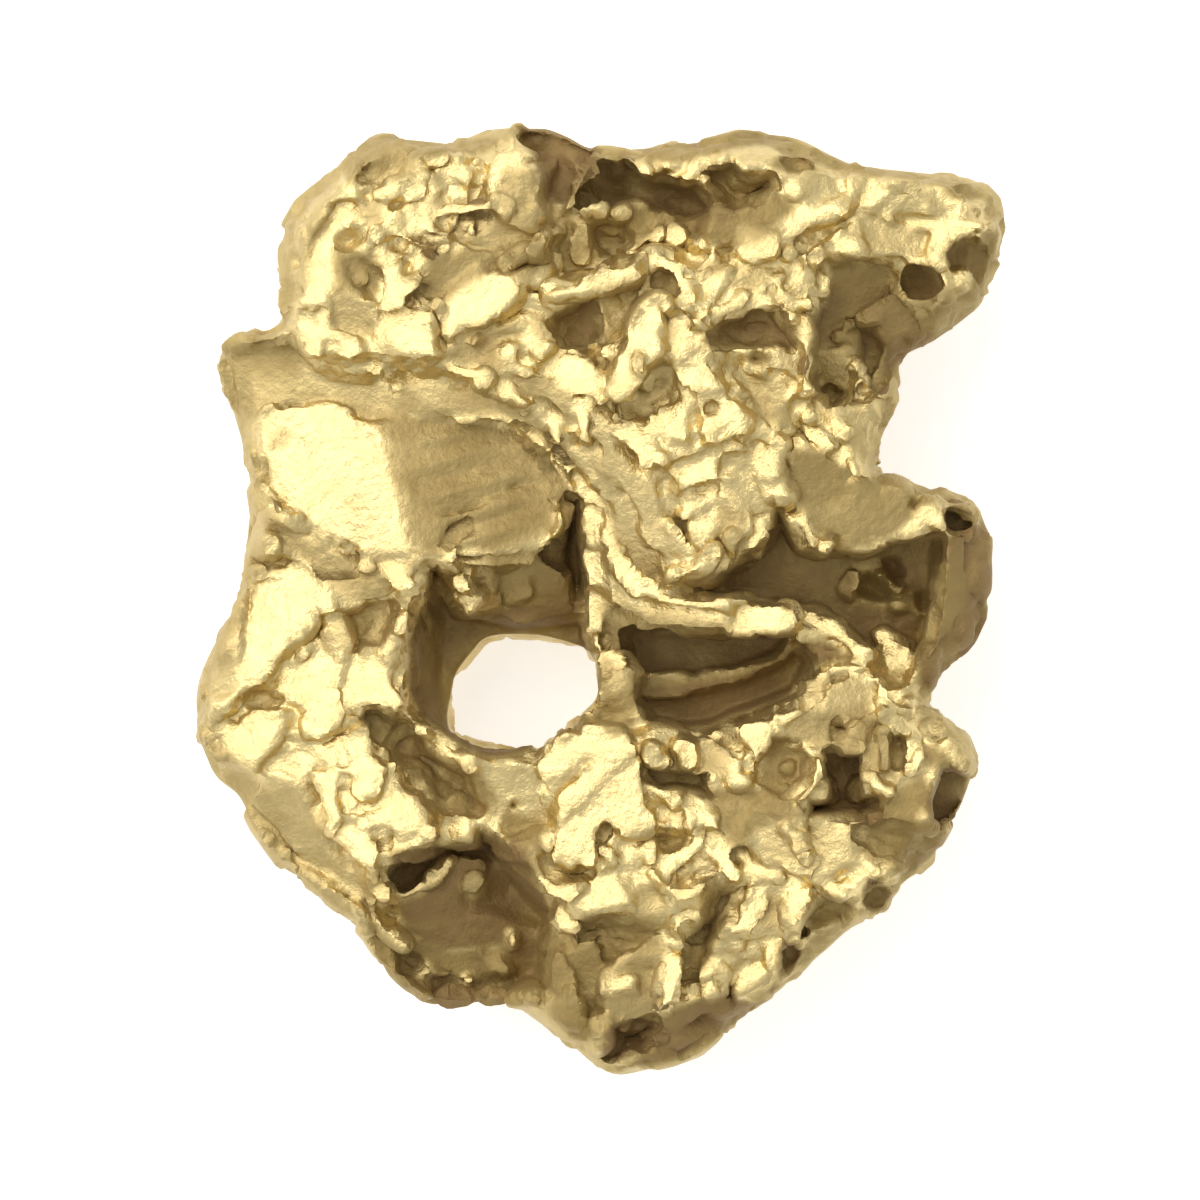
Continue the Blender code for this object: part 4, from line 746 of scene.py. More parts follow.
front.facet(mm(-370, 659, -344, 664, -318, 667, -288, 678, -298, 656, -328, 642, -354, 642), lift=0.12)
front.facet(mm(-296, 667, -290, 699, -274, 715, -245, 720, -246, 706, -270, 698, -278, 674, -290, 642,
    -306, 643, -315, 654), lift=0.15)
front.sink(oval((-2.7, 6.91), (0.14, 0.12)), 0.3, 0.1)
front.facet(mm(-243, 709, -213, 706, -197, 683, -210, 661, -232, 669, -245, 693), lift=0.07)
front.sink(oval((-2.34, 7.17), (0.12, 0.11)), 0.3, 0.1)
front.sink(oval((-1.81, 7.3), (0.13, 0.11)), 0.3, 0.1)
front.ridge(mm(-206, 718, -190, 693, -186, 664, -197, 645), 0.12, -0.2)
front.facet(mm(-181, 702, -178, 725, -162, 738, -146, 754, -130, 752, -112, 730, -104, 706, -126, 693,
    -149, 693, -162, 667, -160, 645, -179, 648), lift=0.14)
front.facet(oval((-1.26, 6.7), (0.28, 0.2)), 200, 0.3, 0.05)
front.crest(mm(-104, 693, -93, 674, -104, 651), 0.1, 0.2)
front.facet(mm(-314, 616, -282, 635, -250, 632, -210, 632, -216, 618, -264, 613, -258, 597, -238, 587,
    -258, 579, -296, 590), 140, 0.4, 0.1)
front.facet(mm(-210, 634, -162, 648, -139, 638, -146, 616, -184, 619), 140, 0.4, 0.1)
front.ridge(mm(-328, 605, -306, 586, -258, 573, -219, 578), 0.11, -0.05)
front.facet(mm(-261, 638, -210, 642, -166, 646, -170, 621, -210, 614, -258, 614), lift=0.08, soft=0.12)
front.facet(mm(-347, 587, -318, 594, -277, 574, -248, 565, -251, 549, -290, 552, -328, 565), lift=0.05,
    soft=0.12)
front.facet(oval((-3.36, 6.19), (0.17, 0.12)), lift=0.06)
front.sink(oval((-3.33, 5.7), (0.18, 0.09)), 0.08, 0.1)
front.sink(oval((-3.23, 6.35), (0.16, 0.09), 15), 0.12, 0.1)
front.crest(mm(-379, 584, -328, 590, -277, 568, -248, 562), 0.12, 0.12)
front.sink(oval((-1.68, 5.92), (0.58, 0.24), -8), 0.15, 0.15)
front.stain_and_shade(mm(-234, 610, -194, 619, -114, 619, -85, 603, -110, 568, -154, 555, -200, 563, -226, 578),
    0.4, 0.12)
front.ridge(mm(-229, 606, -224, 581, -197, 565, -154, 557, -114, 571, -82, 600), 0.15, -0.15)
front.facet(oval((-2.06, 5.94), (0.13, 0.15)), lift=0.09)
front.facet(mm(-274, 539, -210, 552, -114, 552, -88, 536, -130, 520, -162, 517, -194, 539, -238, 504,
    -251, 475, -274, 491), 300, 0.25, -0.15)
front.stain_and_shade(mm(-277, 550, -210, 565, -98, 574, -66, 539, -130, 514, -165, 523, -194, 539, -238, 507,
    -251, 475, -277, 491), 0.7, 0.12)
front.crest(mm(-157, 533, -117, 562), 0.1, 0.2)
front.sink(oval((-4.02, 5.78), (0.22, 0.16), 25), 0.25, 0.12)
front.facet(mm(-414, 558, -382, 552, -354, 533, -360, 491, -379, 488, -402, 510), 330, 0.2, -0.15, 0.2)
front.facet(oval((-3.84, 5.23), (0.1, 0.16)), lift=0.06)
front.facet(mm(-430, 507, -392, 494, -366, 470, -363, 421, -408, 421, -429, 437), 230, 0.3, -0.08)
front.facet(mm(-344, 539, -318, 536, -312, 523, -280, 518, -277, 501, -306, 478, -318, 458, -338, 458,
    -357, 466, -354, 502), lift=0.16)
front.facet(mm(-357, 458, -318, 469, -286, 464, -270, 438, -256, 406, -251, 376, -274, 370, -314, 382,
    -331, 398, -354, 414, -362, 438), 140, 0.42, 0.14)
front.ridge(mm(-293, 475, -275, 491, -267, 459, -248, 418, -238, 379), 0.13, -0.12)
front.stain_and_shade(mm(-280, 518, -258, 507, -245, 482, -245, 422, -258, 446, -274, 478, -290, 478), 0.4, 0.1)
front.facet(mm(-245, 485, -226, 498, -197, 504, -190, 523, -168, 523, -160, 507, -117, 507, -126, 478,
    -142, 453, -178, 450, -210, 443, -232, 421, -245, 430), lift=0.06)
front.facet(mm(-117, 504, -78, 501, -78, 459, -126, 450), 60, 0.35, 0.02)
front.facet(mm(-235, 414, -210, 435, -178, 445, -142, 445, -123, 424, -149, 405, -165, 389, -210, 379,
    -235, 386), 320, 0.25, -0.12)
front.stain_and_shade(mm(-235, 418, -210, 437, -178, 446, -139, 446, -120, 424, -152, 414, -168, 382, -213, 373,
    -238, 386), 0.55, 0.12)
front.crest(mm(-210, 405, -187, 421), 0.1, 0.15)
front.stain_and_shade(mm(-410, 638, -434, 614, -462, 558, -475, 478, -488, 478, -494, 558, -466, 630, -418, 662),
    0.3, 0.12)
front.stain_and_shade(mm(-429, 558, -410, 571, -382, 558, -347, 539, -354, 491, -376, 485, -402, 491, -426, 498),
    0.7, 0.12)
front.stain_and_shade(mm(-389, 645, -354, 645, -347, 603, -382, 597), 0.45, 0.12)
front.stain_and_shade(mm(-258, 539, -194, 546, -162, 526, -190, 517, -222, 498, -248, 478, -264, 494), 0.65, 0.12)
front.stain_and_shade(mm(-430, 504, -392, 494, -363, 470, -360, 424, -402, 418, -429, 437), 0.45, 0.12)
front.stain_and_shade(mm(-210, 430, -162, 437, -138, 414, -154, 389, -170, 342, -210, 354, -226, 366), 0.6, 0.12)
front.stain_and_shade(mm(-226, 587, -162, 594, -90, 581, -98, 558, -162, 550, -210, 562), 0.5, 0.12)
front.tell("upper left lobe")

# %% [markdown]
# ## The upper right lobe
#
# The thinnest lobe ends in a blunt tip with two pits. Its plates are rubbed, so the facets are low
# and wide here.

# %% The upper right lobe
front.terrace(mm(182, 718, 398, 706, 614, 662, 626, 510, 518, 438, 478, 539, 366, 539, 270, 491,
    158, 539), 3.85, 60, 0.1, 0.6)
front.sink(mm(168, 694, 214, 702, 230, 683, 278, 683, 286, 658, 254, 634, 222, 618, 198, 622, 178, 662),
    0.8, 0.18)
front.stain_and_shade(mm(46, 638, 182, 642, 254, 642, 302, 654, 318, 626, 274, 594, 226, 597, 206, 558, 178, 574,
    142, 597, 94, 597, 62, 568, 18, 574), 0.85, 0.12)
front.sink(oval((3.1, 7.01), (0.3, 0.12)), 0.3, 0.12)
front.stain_and_shade(oval((3.1, 7.01), (0.36, 0.16)), 0.75, 0.1)
front.facet(mm(318, 683, 390, 693, 398, 651, 338, 642), 30, 0.35, -0.05)
front.facet(oval((3.1, 6.59), (0.17, 0.17)), lift=0.09)
front.facet(mm(222, 594, 286, 598, 280, 555, 238, 539, 226, 558), 140, 0.42, 0.15)
front.sink(mm(314, 571, 350, 592, 397, 614, 402, 603, 354, 574, 318, 555), 0.2, 0.1)
front.facet(mm(277, 597, 318, 627, 370, 648, 395, 638, 397, 621, 350, 600, 312, 578, 290, 568), 128,
    0.36, 0.1)
front.facet(mm(363, 560, 406, 589, 427, 584, 427, 555, 398, 546), lift=0.12)
front.crest(mm(298, 558, 325, 526), 0.1, 0.2)
front.facet(mm(411, 626, 470, 603, 534, 594, 526, 555, 430, 558, 418, 587), 60, 0.25, -0.1, 0.2)
front.stain_and_shade(mm(411, 635, 470, 613, 534, 597, 530, 549, 486, 539, 424, 555), 0.25, 0.2)
front.crest(mm(467, 667, 520, 664), 0.14, 0.15)
front.facet(mm(478, 618, 558, 616, 638, 613, 638, 587, 568, 586, 552, 558, 549, 530, 533, 530, 526, 558,
    539, 597, 482, 602), lift=0.1)
front.sink(oval((5.17, 5.09), (0.29, 0.28)), 0.9, 0.12)
front.stain_and_shade(oval((5.17, 5.09), (0.31, 0.3)), 1.0, 0.08)
front.sink(mm(566, 574, 587, 582, 622, 566, 627, 542, 614, 502, 603, 518, 587, 530, 562, 530, 558, 558),
    0.75, 0.12)
front.stain_and_shade(mm(563, 574, 587, 584, 626, 568, 629, 539, 614, 498, 600, 523, 584, 533, 558, 530,
    555, 558), 0.9, 0.08)
front.facet(oval((5.84, 5.14), (0.2, 0.16)), lift=0.09)
front.sink(oval((5.9, 6.56), (0.28, 0.11), -5), 0.25, 0.1)
front.stain_and_shade(oval((5.87, 6.54), (0.36, 0.14), -5), 0.75, 0.1)
front.facet(oval((5.66, 6.72), (0.14, 0.1)), lift=0.06)
front.facet(oval((6.13, 6.35), (0.14, 0.12)), lift=0.07)
front.facet(mm(486, 486, 606, 494, 603, 470, 542, 422, 498, 398), 290, 0.5, -0.15, 0.2)
front.stain_and_shade(mm(542, 507, 622, 504, 614, 462, 526, 406, 486, 395, 486, 478), 0.5, 0.2)
front.tell("upper right lobe")

# %% [markdown]
# ## The hollow at the top
#
# A trench of brown stain and painted shade reaches the upper edge. Grains stand in it like
# pebbles. The trench is a stack of sinks with rounded lumps set back on its floor.

# %% The hollow at the top
front.stain_and_shade(mm(-426, 694, -402, 738, -350, 757, -242, 750, -162, 750, -162, 731, -197, 718, -258, 718,
    -322, 725, -386, 696), 0.7, 0.1)
front.stain_and_shade(mm(-158, 693, -98, 693, -85, 614, -130, 598, -162, 630), 0.45, 0.12)
front.stain_and_shade(mm(286, 754, 366, 718, 418, 706, 498, 696, 574, 690, 613, 677, 600, 661, 542, 674, 446, 677,
    366, 683, 302, 686), 0.3, 0.12)
front.terrace(mm(-98, 734, -2, 715, 94, 722, 158, 702, 178, 619, 142, 558, 86, 539, -2, 526, -66, 523,
    -90, 614, -114, 702), 3.3, 290, 0.2, 0.35)
front.stain_and_shade(mm(-90, 638, -66, 638, -2, 622, 178, 626, 214, 614, 198, 574, 142, 598, 102, 603, 62, 566,
    -2, 546, -66, 530, -90, 598), 0.6, 0.2)
front.stain_and_shade(mm(-139, 770, -66, 779, -2, 742, -2, 718, -18, 662, -46, 638, -88, 638, -98, 686,
    -110, 725), 1.0, 0.1)
front.stain_and_shade(mm(56, 738, 158, 747, 230, 763, 318, 757, 318, 741, 222, 728, 158, 706, 78, 702), 0.85,
    0.12)
front.stain_and_shade(mm(-130, 766, -66, 758, -2, 734, 78, 722, 62, 699, -2, 694, -66, 715, -114, 734), 0.85,
    0.12)
front.stain_and_shade(mm(-426, 706, -370, 738, -322, 750, -234, 742, -226, 718, -306, 706, -402, 667), 0.7, 0.12)
front.stain_and_shade(mm(222, 757, 318, 750, 418, 706, 498, 696, 610, 678, 598, 654, 478, 674, 398, 686,
    302, 715), 0.75, 0.12)
front.stain_and_shade(mm(486, 422, 542, 478, 598, 502, 614, 590, 645, 598, 642, 542, 614, 470, 574, 422,
    502, 389), 0.8, 0.12)
front.stain_and_shade(mm(142, 546, 190, 546, 230, 539, 270, 523, 262, 494, 222, 501, 198, 517, 158, 518), 0.4,
    0.12)
front.stain_and_shade(mm(142, 619, 198, 619, 270, 606, 280, 581, 222, 565, 158, 574), 0.6, 0.12)
front.sink(mm(-133, 754, -74, 760, -14, 722, -27, 694, -45, 662, -54, 643, -88, 645, -91, 686,
    -102, 710, -122, 734), 1.0, 0.18)
front.sink(mm(-2, 704, 43, 707, 86, 675, 126, 678, 158, 664, 186, 638, 176, 626, 142, 616, 94, 627,
    62, 642, 22, 626, 6, 643, -18, 637, -35, 634, -21, 670), 1.0, 0.18)
front.facet(mm(-11, 718, 5, 718, -11, 686, -27, 661, -40, 632, -62, 616, -53, 645, -40, 677), 160, 0.3,
    0.35)
front.facet(mm(-2, 718, 43, 720, 43, 707, 5, 706), 120, 0.3, 0.2)
front.facet(mm(43, 718, 62, 715, 91, 686, 94, 675, 78, 677, 50, 702), lift=0.15)
front.facet(mm(86, 723, 142, 725, 131, 694, 102, 690), 60, 0.3, 0.0)
front.facet(mm(101, 680, 130, 686, 142, 702, 158, 714, 203, 718, 203, 707, 168, 696, 155, 674, 142, 667,
    120, 674), lift=0.12)
front.crest(mm(163, 677, 182, 659, 197, 642), 0.11, 0.3)
front.sink(mm(-21, 613, 5, 619, 53, 616, 59, 574, 22, 549, -14, 562), 0.35, 0.16)
front.crest(mm(-30, 619, -14, 632, 11, 626), 0.1, 0.25)
front.crest(mm(24, 616, 37, 632, 43, 616), 0.09, 0.25)
front.crest(mm(-34, 614, -30, 539), 0.12, 0.15)
front.crest(mm(-56, 600, -88, 578, -110, 549), 0.12, 0.25)
front.crest(mm(34, 558, 70, 581, 102, 597), 0.13, 0.2)
front.tell("hollow at the top")

# %% [markdown]
# ## The ledge
#
# A long step crosses the middle of the upper half. Its top is a bright crest, and the hollow below
# it is dark, which makes the step look taller than it is.

# %% The ledge
front.terrace(mm(-162, 450, -82, 459, 18, 406, 18, 310, -18, 270, -66, 315, -142, 347, -210, 363), 3.8,
    240, 0.15, 0.3)
front.terrace(mm(-90, 502, -2, 514, 86, 550, 101, 478, 70, 406, -2, 363, -66, 398, -90, 430), 3.75, 250,
    0.2, 0.25)
front.facet(mm(-162, 446, -114, 494, -66, 478, -5, 496, -34, 470, -90, 448), 250, 0.5, 0.0)
front.sink(mm(-75, 456, -37, 475, -2, 480, 0, 427, -30, 408, -56, 414), 0.45, 0.14)
front.stain_and_shade(mm(-78, 456, -40, 478, -2, 482, 2, 422, -30, 402, -59, 411), 0.85, 0.1)
front.stain_and_shade(mm(-5, 501, 75, 523, 86, 494, 62, 462, 38, 422, 8, 422), 0.45, 0.15)
front.facet(mm(-158, 446, -130, 466, -88, 459, -66, 414, -85, 418, -123, 434, -154, 430), 95, 0.3, 0.1,
    0.14)
front.stain_and_shade(mm(-130, 469, -88, 462, -72, 414, -104, 418), 0.35, 0.12)
front.facet(oval((-0.96, 3.97), (0.2, 0.17)), lift=0.15)
front.facet(oval((-1.46, 3.98), (0.2, 0.19)), lift=0.15)
front.sink(mm(-2, 488, 78, 512, 86, 494, 62, 462, 38, 430, 14, 422, -2, 438), 0.18, 0.14)
front.facet(mm(-88, 504, -42, 515, -2, 525, 30, 541, 62, 552, 82, 557, 82, 533, 70, 517, 30, 506,
    -2, 490, -34, 485, -66, 477, -85, 483), 125, 0.4, 0.45)
front.sink(mm(-11, 408, 5, 408, 8, 373, -5, 376), 0.15, 0.1)
front.facet(oval((1.23, 5.9), (0.15, 0.17)), lift=0.21)
front.facet(oval((1.63, 5.7), (0.13, 0.12)), lift=0.18)
front.facet(oval((0.16, 4.03), (0.16, 0.15)), lift=0.18)
front.tell("ledge")

# %% [markdown]
# ## The pair of pits
#
# Two pits lie side by side right of the middle, one deep and one shallow. Their walls are facets
# that stand nearly upright, so each pit has a lit side and a shaded one.

# %% The pair of pits
front.terrace(mm(114, 539, 254, 539, 342, 494, 350, 318, 302, 278, 226, 318, 184, 398, 158, 478,
    114, 478), 4.05, 170, 0.12, 0.4)
front.terrace(mm(66, 549, 82, 565, 114, 562, 158, 539, 168, 475, 126, 456, 82, 469, 69, 494), 3.9,
    UP_LEFT, 0.2, 0.2)
front.facet(mm(69, 555, 94, 563, 120, 542, 142, 520, 160, 491, 158, 466, 133, 466, 122, 494, 110, 523,
    85, 536), 138, 0.42, 0.1, 0.1)
front.sink(mm(88, 526, 107, 525, 118, 504, 112, 485, 91, 488, 83, 506), 0.25, 0.1)
front.stain_and_shade(mm(88, 526, 107, 525, 118, 504, 112, 485, 91, 488, 83, 506), 0.7, 0.08)
front.sink(mm(187, 574, 216, 574, 216, 530, 190, 530), 0.2, 0.14)
front.facet(mm(163, 478, 171, 504, 190, 522, 213, 523, 203, 504, 187, 478, 181, 459, 168, 459),
    lift=0.12)
front.facet(mm(190, 469, 216, 493, 242, 494, 235, 475, 206, 453, 192, 454), lift=0.12)
front.facet(mm(242, 491, 274, 491, 302, 478, 318, 459, 318, 437, 296, 450, 274, 469, 248, 478), 120,
    0.42, 0.1)
front.facet(oval((2.61, 4.99), (0.1, 0.09)), lift=0.06)
front.facet(oval((2.93, 5.09), (0.12, 0.15)), lift=0.07)
front.facet(mm(315, 482, 338, 485, 344, 464, 323, 467), lift=0.07)
front.sink(mm(168, 416, 181, 426, 198, 437, 224, 445, 243, 456, 261, 458, 278, 451, 293, 440, 309, 427,
    315, 413, 310, 400, 296, 402, 283, 410, 267, 408, 242, 405, 214, 405, 187, 403, 173, 405), 0.5, 0.1)
front.stain_and_shade(mm(166, 418, 179, 430, 197, 443, 222, 451, 242, 464, 264, 466, 282, 458, 298, 445, 314, 430,
    320, 413, 312, 397, 296, 400, 283, 408, 267, 406, 242, 403, 214, 403, 187, 402, 171, 403), 0.95,
    0.08)
front.sink(oval((2.56, 3.87), (0.16, 0.13)), 0.3, 0.1)
front.stain_and_shade(oval((2.56, 3.87), (0.18, 0.14)), 0.8, 0.08)
front.sink(mm(317, 466, 338, 464, 341, 448, 325, 450), 0.35, 0.1)
front.crest(mm(278, 478, 302, 459, 315, 446), 0.11, 0.15)
front.facet(mm(315, 459, 328, 450, 338, 421, 338, 389, 331, 360, 344, 331, 328, 322, 315, 344, 323, 379,
    323, 414, 314, 437), lift=0.2)
front.crest(mm(178, 397, 206, 389, 230, 363, 250, 358), 0.09, 0.15)
front.sink(mm(178, 389, 203, 387, 226, 362, 222, 349, 194, 365), 0.3, 0.12)
front.facet(mm(203, 395, 226, 389, 242, 370, 264, 360, 302, 363, 312, 331, 293, 299, 318, 267, 283, 274,
    248, 306, 226, 344, 206, 373), 200, 0.2, -0.05, 0.2)
front.stain_and_shade(mm(219, 350, 254, 360, 302, 354, 290, 310, 306, 278, 254, 286), 0.45, 0.15)
front.crest(mm(197, 354, 214, 338, 227, 320), 0.09, 0.12)
front.tell("pair of pits")

# %% [markdown]
# ## The hollow on the right
#
# Under the upper right lobe the metal falls to a wide hollow, painted dark with stain and shade. A few
# sharp blades of bright crystal hang over it at the lower end.

# %% The hollow on the right
front.stain_and_shade(mm(370, 536, 390, 549, 466, 539, 498, 475, 550, 424, 486, 379, 456, 338, 424, 331, 408, 350,
    398, 331, 376, 322, 350, 334, 341, 366, 338, 459, 363, 478), 0.92, 0.14)
front.terrace(mm(299, 552, 360, 546, 360, 491, 318, 485, 296, 504), 3.9, 120, 0.15, 0.12)
front.terrace(mm(309, 315, 334, 328, 398, 315, 453, 328, 450, 270, 440, 213, 382, 219, 312, 245), 3.75,
    120, 0.1, 0.15)
front.terrace(mm(370, 533, 466, 539, 498, 475, 542, 424, 483, 379, 456, 344, 427, 338, 382, 328,
    347, 347, 341, 446), 3.05, 280, 0.25, 0.14)
front.facet(mm(373, 530, 430, 539, 467, 523, 485, 478, 526, 459, 488, 398, 453, 373, 398, 406,
    363, 446), 300, 0.5, 0.0, 0.2)
front.sink(mm(405, 454, 453, 450, 456, 406, 434, 350, 414, 363), 0.45, 0.2)
front.facet(mm(347, 405, 398, 406, 402, 341, 354, 344), 240, 0.35, 0.1)
front.sink(oval((3.76, 3.31), (0.2, 0.16)), 0.25, 0.12)
front.facet(mm(398, 392, 414, 386, 430, 363, 434, 344, 418, 347, 421, 318, 405, 315, 402, 344,
    411, 360), lift=0.3)
front.stain_and_shade(mm(338, 406, 462, 406, 456, 328, 344, 315), -0.3, 0.12)
front.stain_and_shade(mm(398, 392, 414, 386, 434, 363, 437, 331, 402, 315, 402, 344), -0.6, 0.1)
front.facet(mm(352, 309, 370, 306, 392, 288, 410, 267, 398, 254, 379, 261, 362, 283), lift=0.1)
front.facet(mm(296, 302, 315, 322, 338, 328, 346, 306, 339, 283, 318, 278, 302, 285), lift=0.1)
front.stain_and_shade(mm(402, 312, 424, 315, 424, 270, 411, 270), 0.4, 0.1)
front.stain_and_shade(mm(392, 267, 418, 274, 427, 238, 402, 226), 0.4, 0.12)
front.facet(mm(437, 315, 459, 328, 453, 270, 446, 226, 427, 229, 430, 274), lift=0.25)
front.facet(mm(342, 490, 349, 517, 363, 536, 374, 520, 366, 488), lift=0.12)
front.facet(oval((3.26, 4.78), (0.14, 0.12)), lift=0.1)
front.tell("hollow on the right")

# %% [markdown]
# ## The right middle lobe and its cave
#
# A smooth grey lobe overhangs a wide cave, painted brown with stain and shade. The lobe is one quiet
# plane with a bright broken edge. The cave floor lies 1.3 mm lower and holds a few soft lumps.

# %% The right middle lobe and its cave
front.stain_and_shade(mm(133, 27, 267, 75, 277, 139, 288, 146, 325, 86, 430, 77, 478, 99, 549, 106, 552, 62,
    533, -37, 504, -66, 475, -56, 446, -46, 427, -78, 379, -27, 338, -14, 318, -2, 230, 3), 0.9, 0.1)
front.stain_and_shade(mm(549, 94, 598, 126, 638, 134, 645, -18, 614, -106, 550, -162, 514, -136, 507, -82,
    542, -21), 0.95, 0.2)
front.stain_and_shade(mm(286, 219, 318, 245, 398, 219, 526, 178, 518, 150, 478, 110, 430, 85, 350, 94, 312, 139),
    0.7, 0.12)
front.stain_and_shade(mm(306, 238, 386, 242, 402, 206, 402, 149, 354, 149), 0.8, 0.15)
front.terrace(mm(296, 230, 318, 254, 430, 226, 542, 178, 614, 139, 613, 94, 534, 86, 430, 75, 331, 114,
    290, 158), 3.75, 330, 0.16, 0.3)
front.terrace(mm(133, 27, 267, 75, 277, 139, 288, 146, 325, 86, 430, 77, 478, 99, 549, 106, 552, 62,
    536, -66, 502, -110, 446, -82, 427, -90, 366, -24, 318, -3, 230, 2), 2.4, 300, 0.25, 0.14)
front.facet(mm(549, 86, 619, 110, 622, -18, 542, -130, 523, -110, 542, -34), 345, 0.6, 0.0, 0.3)
front.sink(mm(418, 34, 438, 43, 462, 30, 480, 5, 454, 0, 418, 10), 0.45, 0.14)
front.sink(mm(454, 70, 486, 70, 499, 38, 478, 34), 0.35, 0.12)
front.sink(mm(514, 14, 550, 14, 546, -21, 518, -14), 0.3, 0.15)
front.stain_and_shade(mm(501, -66, 536, -66, 520, -110, 501, -101), 0.9, 0.1)
front.ridge(mm(419, 45, 402, 18, 414, -5), 0.2, 0.24)
front.ridge(mm(446, 46, 466, 37, 483, 14, 502, 27), 0.09, 0.25)
front.ridge(mm(467, -10, 512, -8, 526, -34), 0.2, 0.16)
front.stain_and_shade(mm(414, 59, 472, 50, 514, 5, 507, -21, 446, -8, 408, -11), -0.4, 0.12)
front.facet(oval((3.66, 1.87), (0.35, 0.4)), 300, 0.25, -0.05, 0.3)
front.facet(mm(318, 296, 338, 286, 360, 264, 389, 238, 427, 213, 434, 194, 411, 197, 379, 222, 347, 248,
    323, 274), lift=0.06)
front.facet(mm(392, 235, 424, 219, 435, 198, 414, 192, 398, 194, 392, 214), lift=0.09)
front.ramp(mm(286, 181, 312, 166, 328, 142, 342, 114, 376, 93, 360, 75, 328, 82, 312, 114, 296, 146,
    277, 162), 3.85, 0.36, 0.1, clean=False)
front.crest(mm(342, 88, 382, 83, 427, 78), 0.12, 0.1)
front.facet(mm(478, 109, 504, 128, 523, 146, 517, 166, 549, 166, 552, 146, 562, 114, 542, 114, 530, 126,
    510, 114, 488, 102), lift=0.12)
front.facet(mm(549, 165, 590, 158, 610, 146, 613, 126, 594, 139, 565, 149), lift=0.12)
front.sink(mm(550, 141, 571, 147, 590, 138, 605, 125, 589, 110, 560, 112), 0.85, 0.1)
front.stain_and_shade(mm(552, 141, 571, 147, 594, 136, 606, 123, 587, 107, 558, 109), 1.0, 0.08)
front.sink(oval((5.07, 1.5), (0.1, 0.12)), 0.2, 0.1)
front.facet(mm(445, -53, 462, -43, 485, -59, 510, -67, 514, -91, 501, -110, 488, -133, 462, -126,
    451, -98), lift=0.2, soft=0.16)
front.facet(mm(334, -27, 373, -27, 395, -46, 437, -85, 418, -90, 392, -69, 370, -48, 338, -48), 132,
    0.42, 0.45)
front.tell("right middle lobe and its cave")

# %% [markdown]
# ## The centre block
#
# The highest part of the nugget. Two bright arms form an upturned V over a notch, and lesser
# blocks step down from them to the strip. The arms are ramps that rise to the lower right, the way
# that the crystals lean.

# %% The centre block
front.terrace(mm(-5, 318, 34, 414, 90, 478, 182, 470, 222, 318, 306, 254, 278, 126, 190, 22, 110, 11,
    50, 62, 5, 174), 4.1, 250, 0.15, 0.45)
front.facet(mm(8, 203, 142, 194, 158, 94, 110, 43, 53, 69, 18, 126), 225, 0.6, -0.1, 0.25)
front.sink(mm(-2, 306, 21, 306, 18, 277, 2, 280), 0.12, 0.12)
front.facet(mm(-85, 392, -42, 406, -14, 395, 3, 370, 22, 322, 8, 301, -21, 298, -46, 306, -72, 338),
    138, 0.4, 0.15, 0.14)
front.facet(oval((0.16, 4.02), (0.18, 0.17)), lift=0.12)
front.facet(mm(86, 248, 158, 251, 235, 258, 238, 235, 194, 229, 158, 219, 114, 210, 88, 216), 110, 0.3,
    0.14, 0.12)
front.facet(mm(18, 278, 82, 280, 91, 262, 96, 246, 112, 235, 107, 218, 91, 219, 70, 208, 50, 230,
    27, 254), lift=0.08)
front.facet(mm(107, 315, 133, 312, 149, 270, 142, 245, 107, 254, 82, 280), 130, 0.36, 0.1)
front.facet(mm(114, 213, 158, 232, 195, 243, 195, 186, 158, 179, 123, 166), lift=0.08)
front.facet(mm(46, 434, 72, 475, 98, 488, 126, 469, 125, 434, 115, 405, 101, 379, 78, 363, 64, 341,
    50, 318, 27, 306, 5, 325, 11, 363, 34, 398), UP_LEFT, 0.4, 0.36, 0.12)
front.ramp(mm(94, 466, 133, 456, 146, 418, 168, 389, 187, 360, 200, 331, 178, 318, 155, 318, 136, 344,
    120, 373, 104, 408), 4.347, 0.26, 0.12)
front.ramp(mm(152, 325, 194, 334, 219, 315, 238, 286, 235, 270, 214, 261, 194, 245, 165, 246), 4.522,
    0.26, 0.12)
front.sink(mm(91, 379, 104, 392, 112, 373, 120, 344, 126, 322, 94, 299, 62, 293, 34, 299, 53, 315,
    69, 338), 0.35, 0.14)
front.crest(mm(69, 395, 64, 360), 0.1, 0.2)
front.sink(oval((1.78, 3.07), (0.11, 0.09)), 0.18, 0.08)
front.ridge(mm(184, 254, 200, 270, 216, 280), 0.08, -0.1)
front.sink(oval((0.93, 2.06), (0.14, 0.07)), 0.12, 0.1)
front.sink(oval((1.65, 1.76), (0.25, 0.06), 10), 0.15, 0.1)
front.sink(mm(78, 200, 107, 200, 104, 110, 82, 110), 0.2, 0.12)
front.facet(mm(246, 254, 262, 261, 283, 242, 294, 206, 296, 171, 274, 170, 254, 187, 242, 214,
    238, 238), lift=0.1)
front.facet(mm(261, 190, 296, 190, 315, 166, 302, 154, 274, 162), lift=0.15)
front.crest(mm(190, 358, 230, 318, 258, 286, 318, 254), 0.09, 0.1)
front.facet(oval((1.42, 1.47), (0.14, 0.13)), lift=0.08)
front.facet(mm(155, 139, 187, 149, 189, 110, 178, 94, 158, 86, 146, 94, 150, 118), lift=0.09)
front.crest(mm(189, 91, 171, 59, 142, 46, 110, 35), 0.13, 0.25)
front.lump((2.21, 1.02), (0.28, 0.3), 0.15)
front.stain_and_shade(mm(190, 149, 238, 142, 238, 78, 194, 82), 0.5, 0.12)
front.facet(mm(242, 139, 264, 142, 269, 123, 262, 85, 251, 74, 232, 75, 238, 101), lift=0.15)
front.tell("centre block")

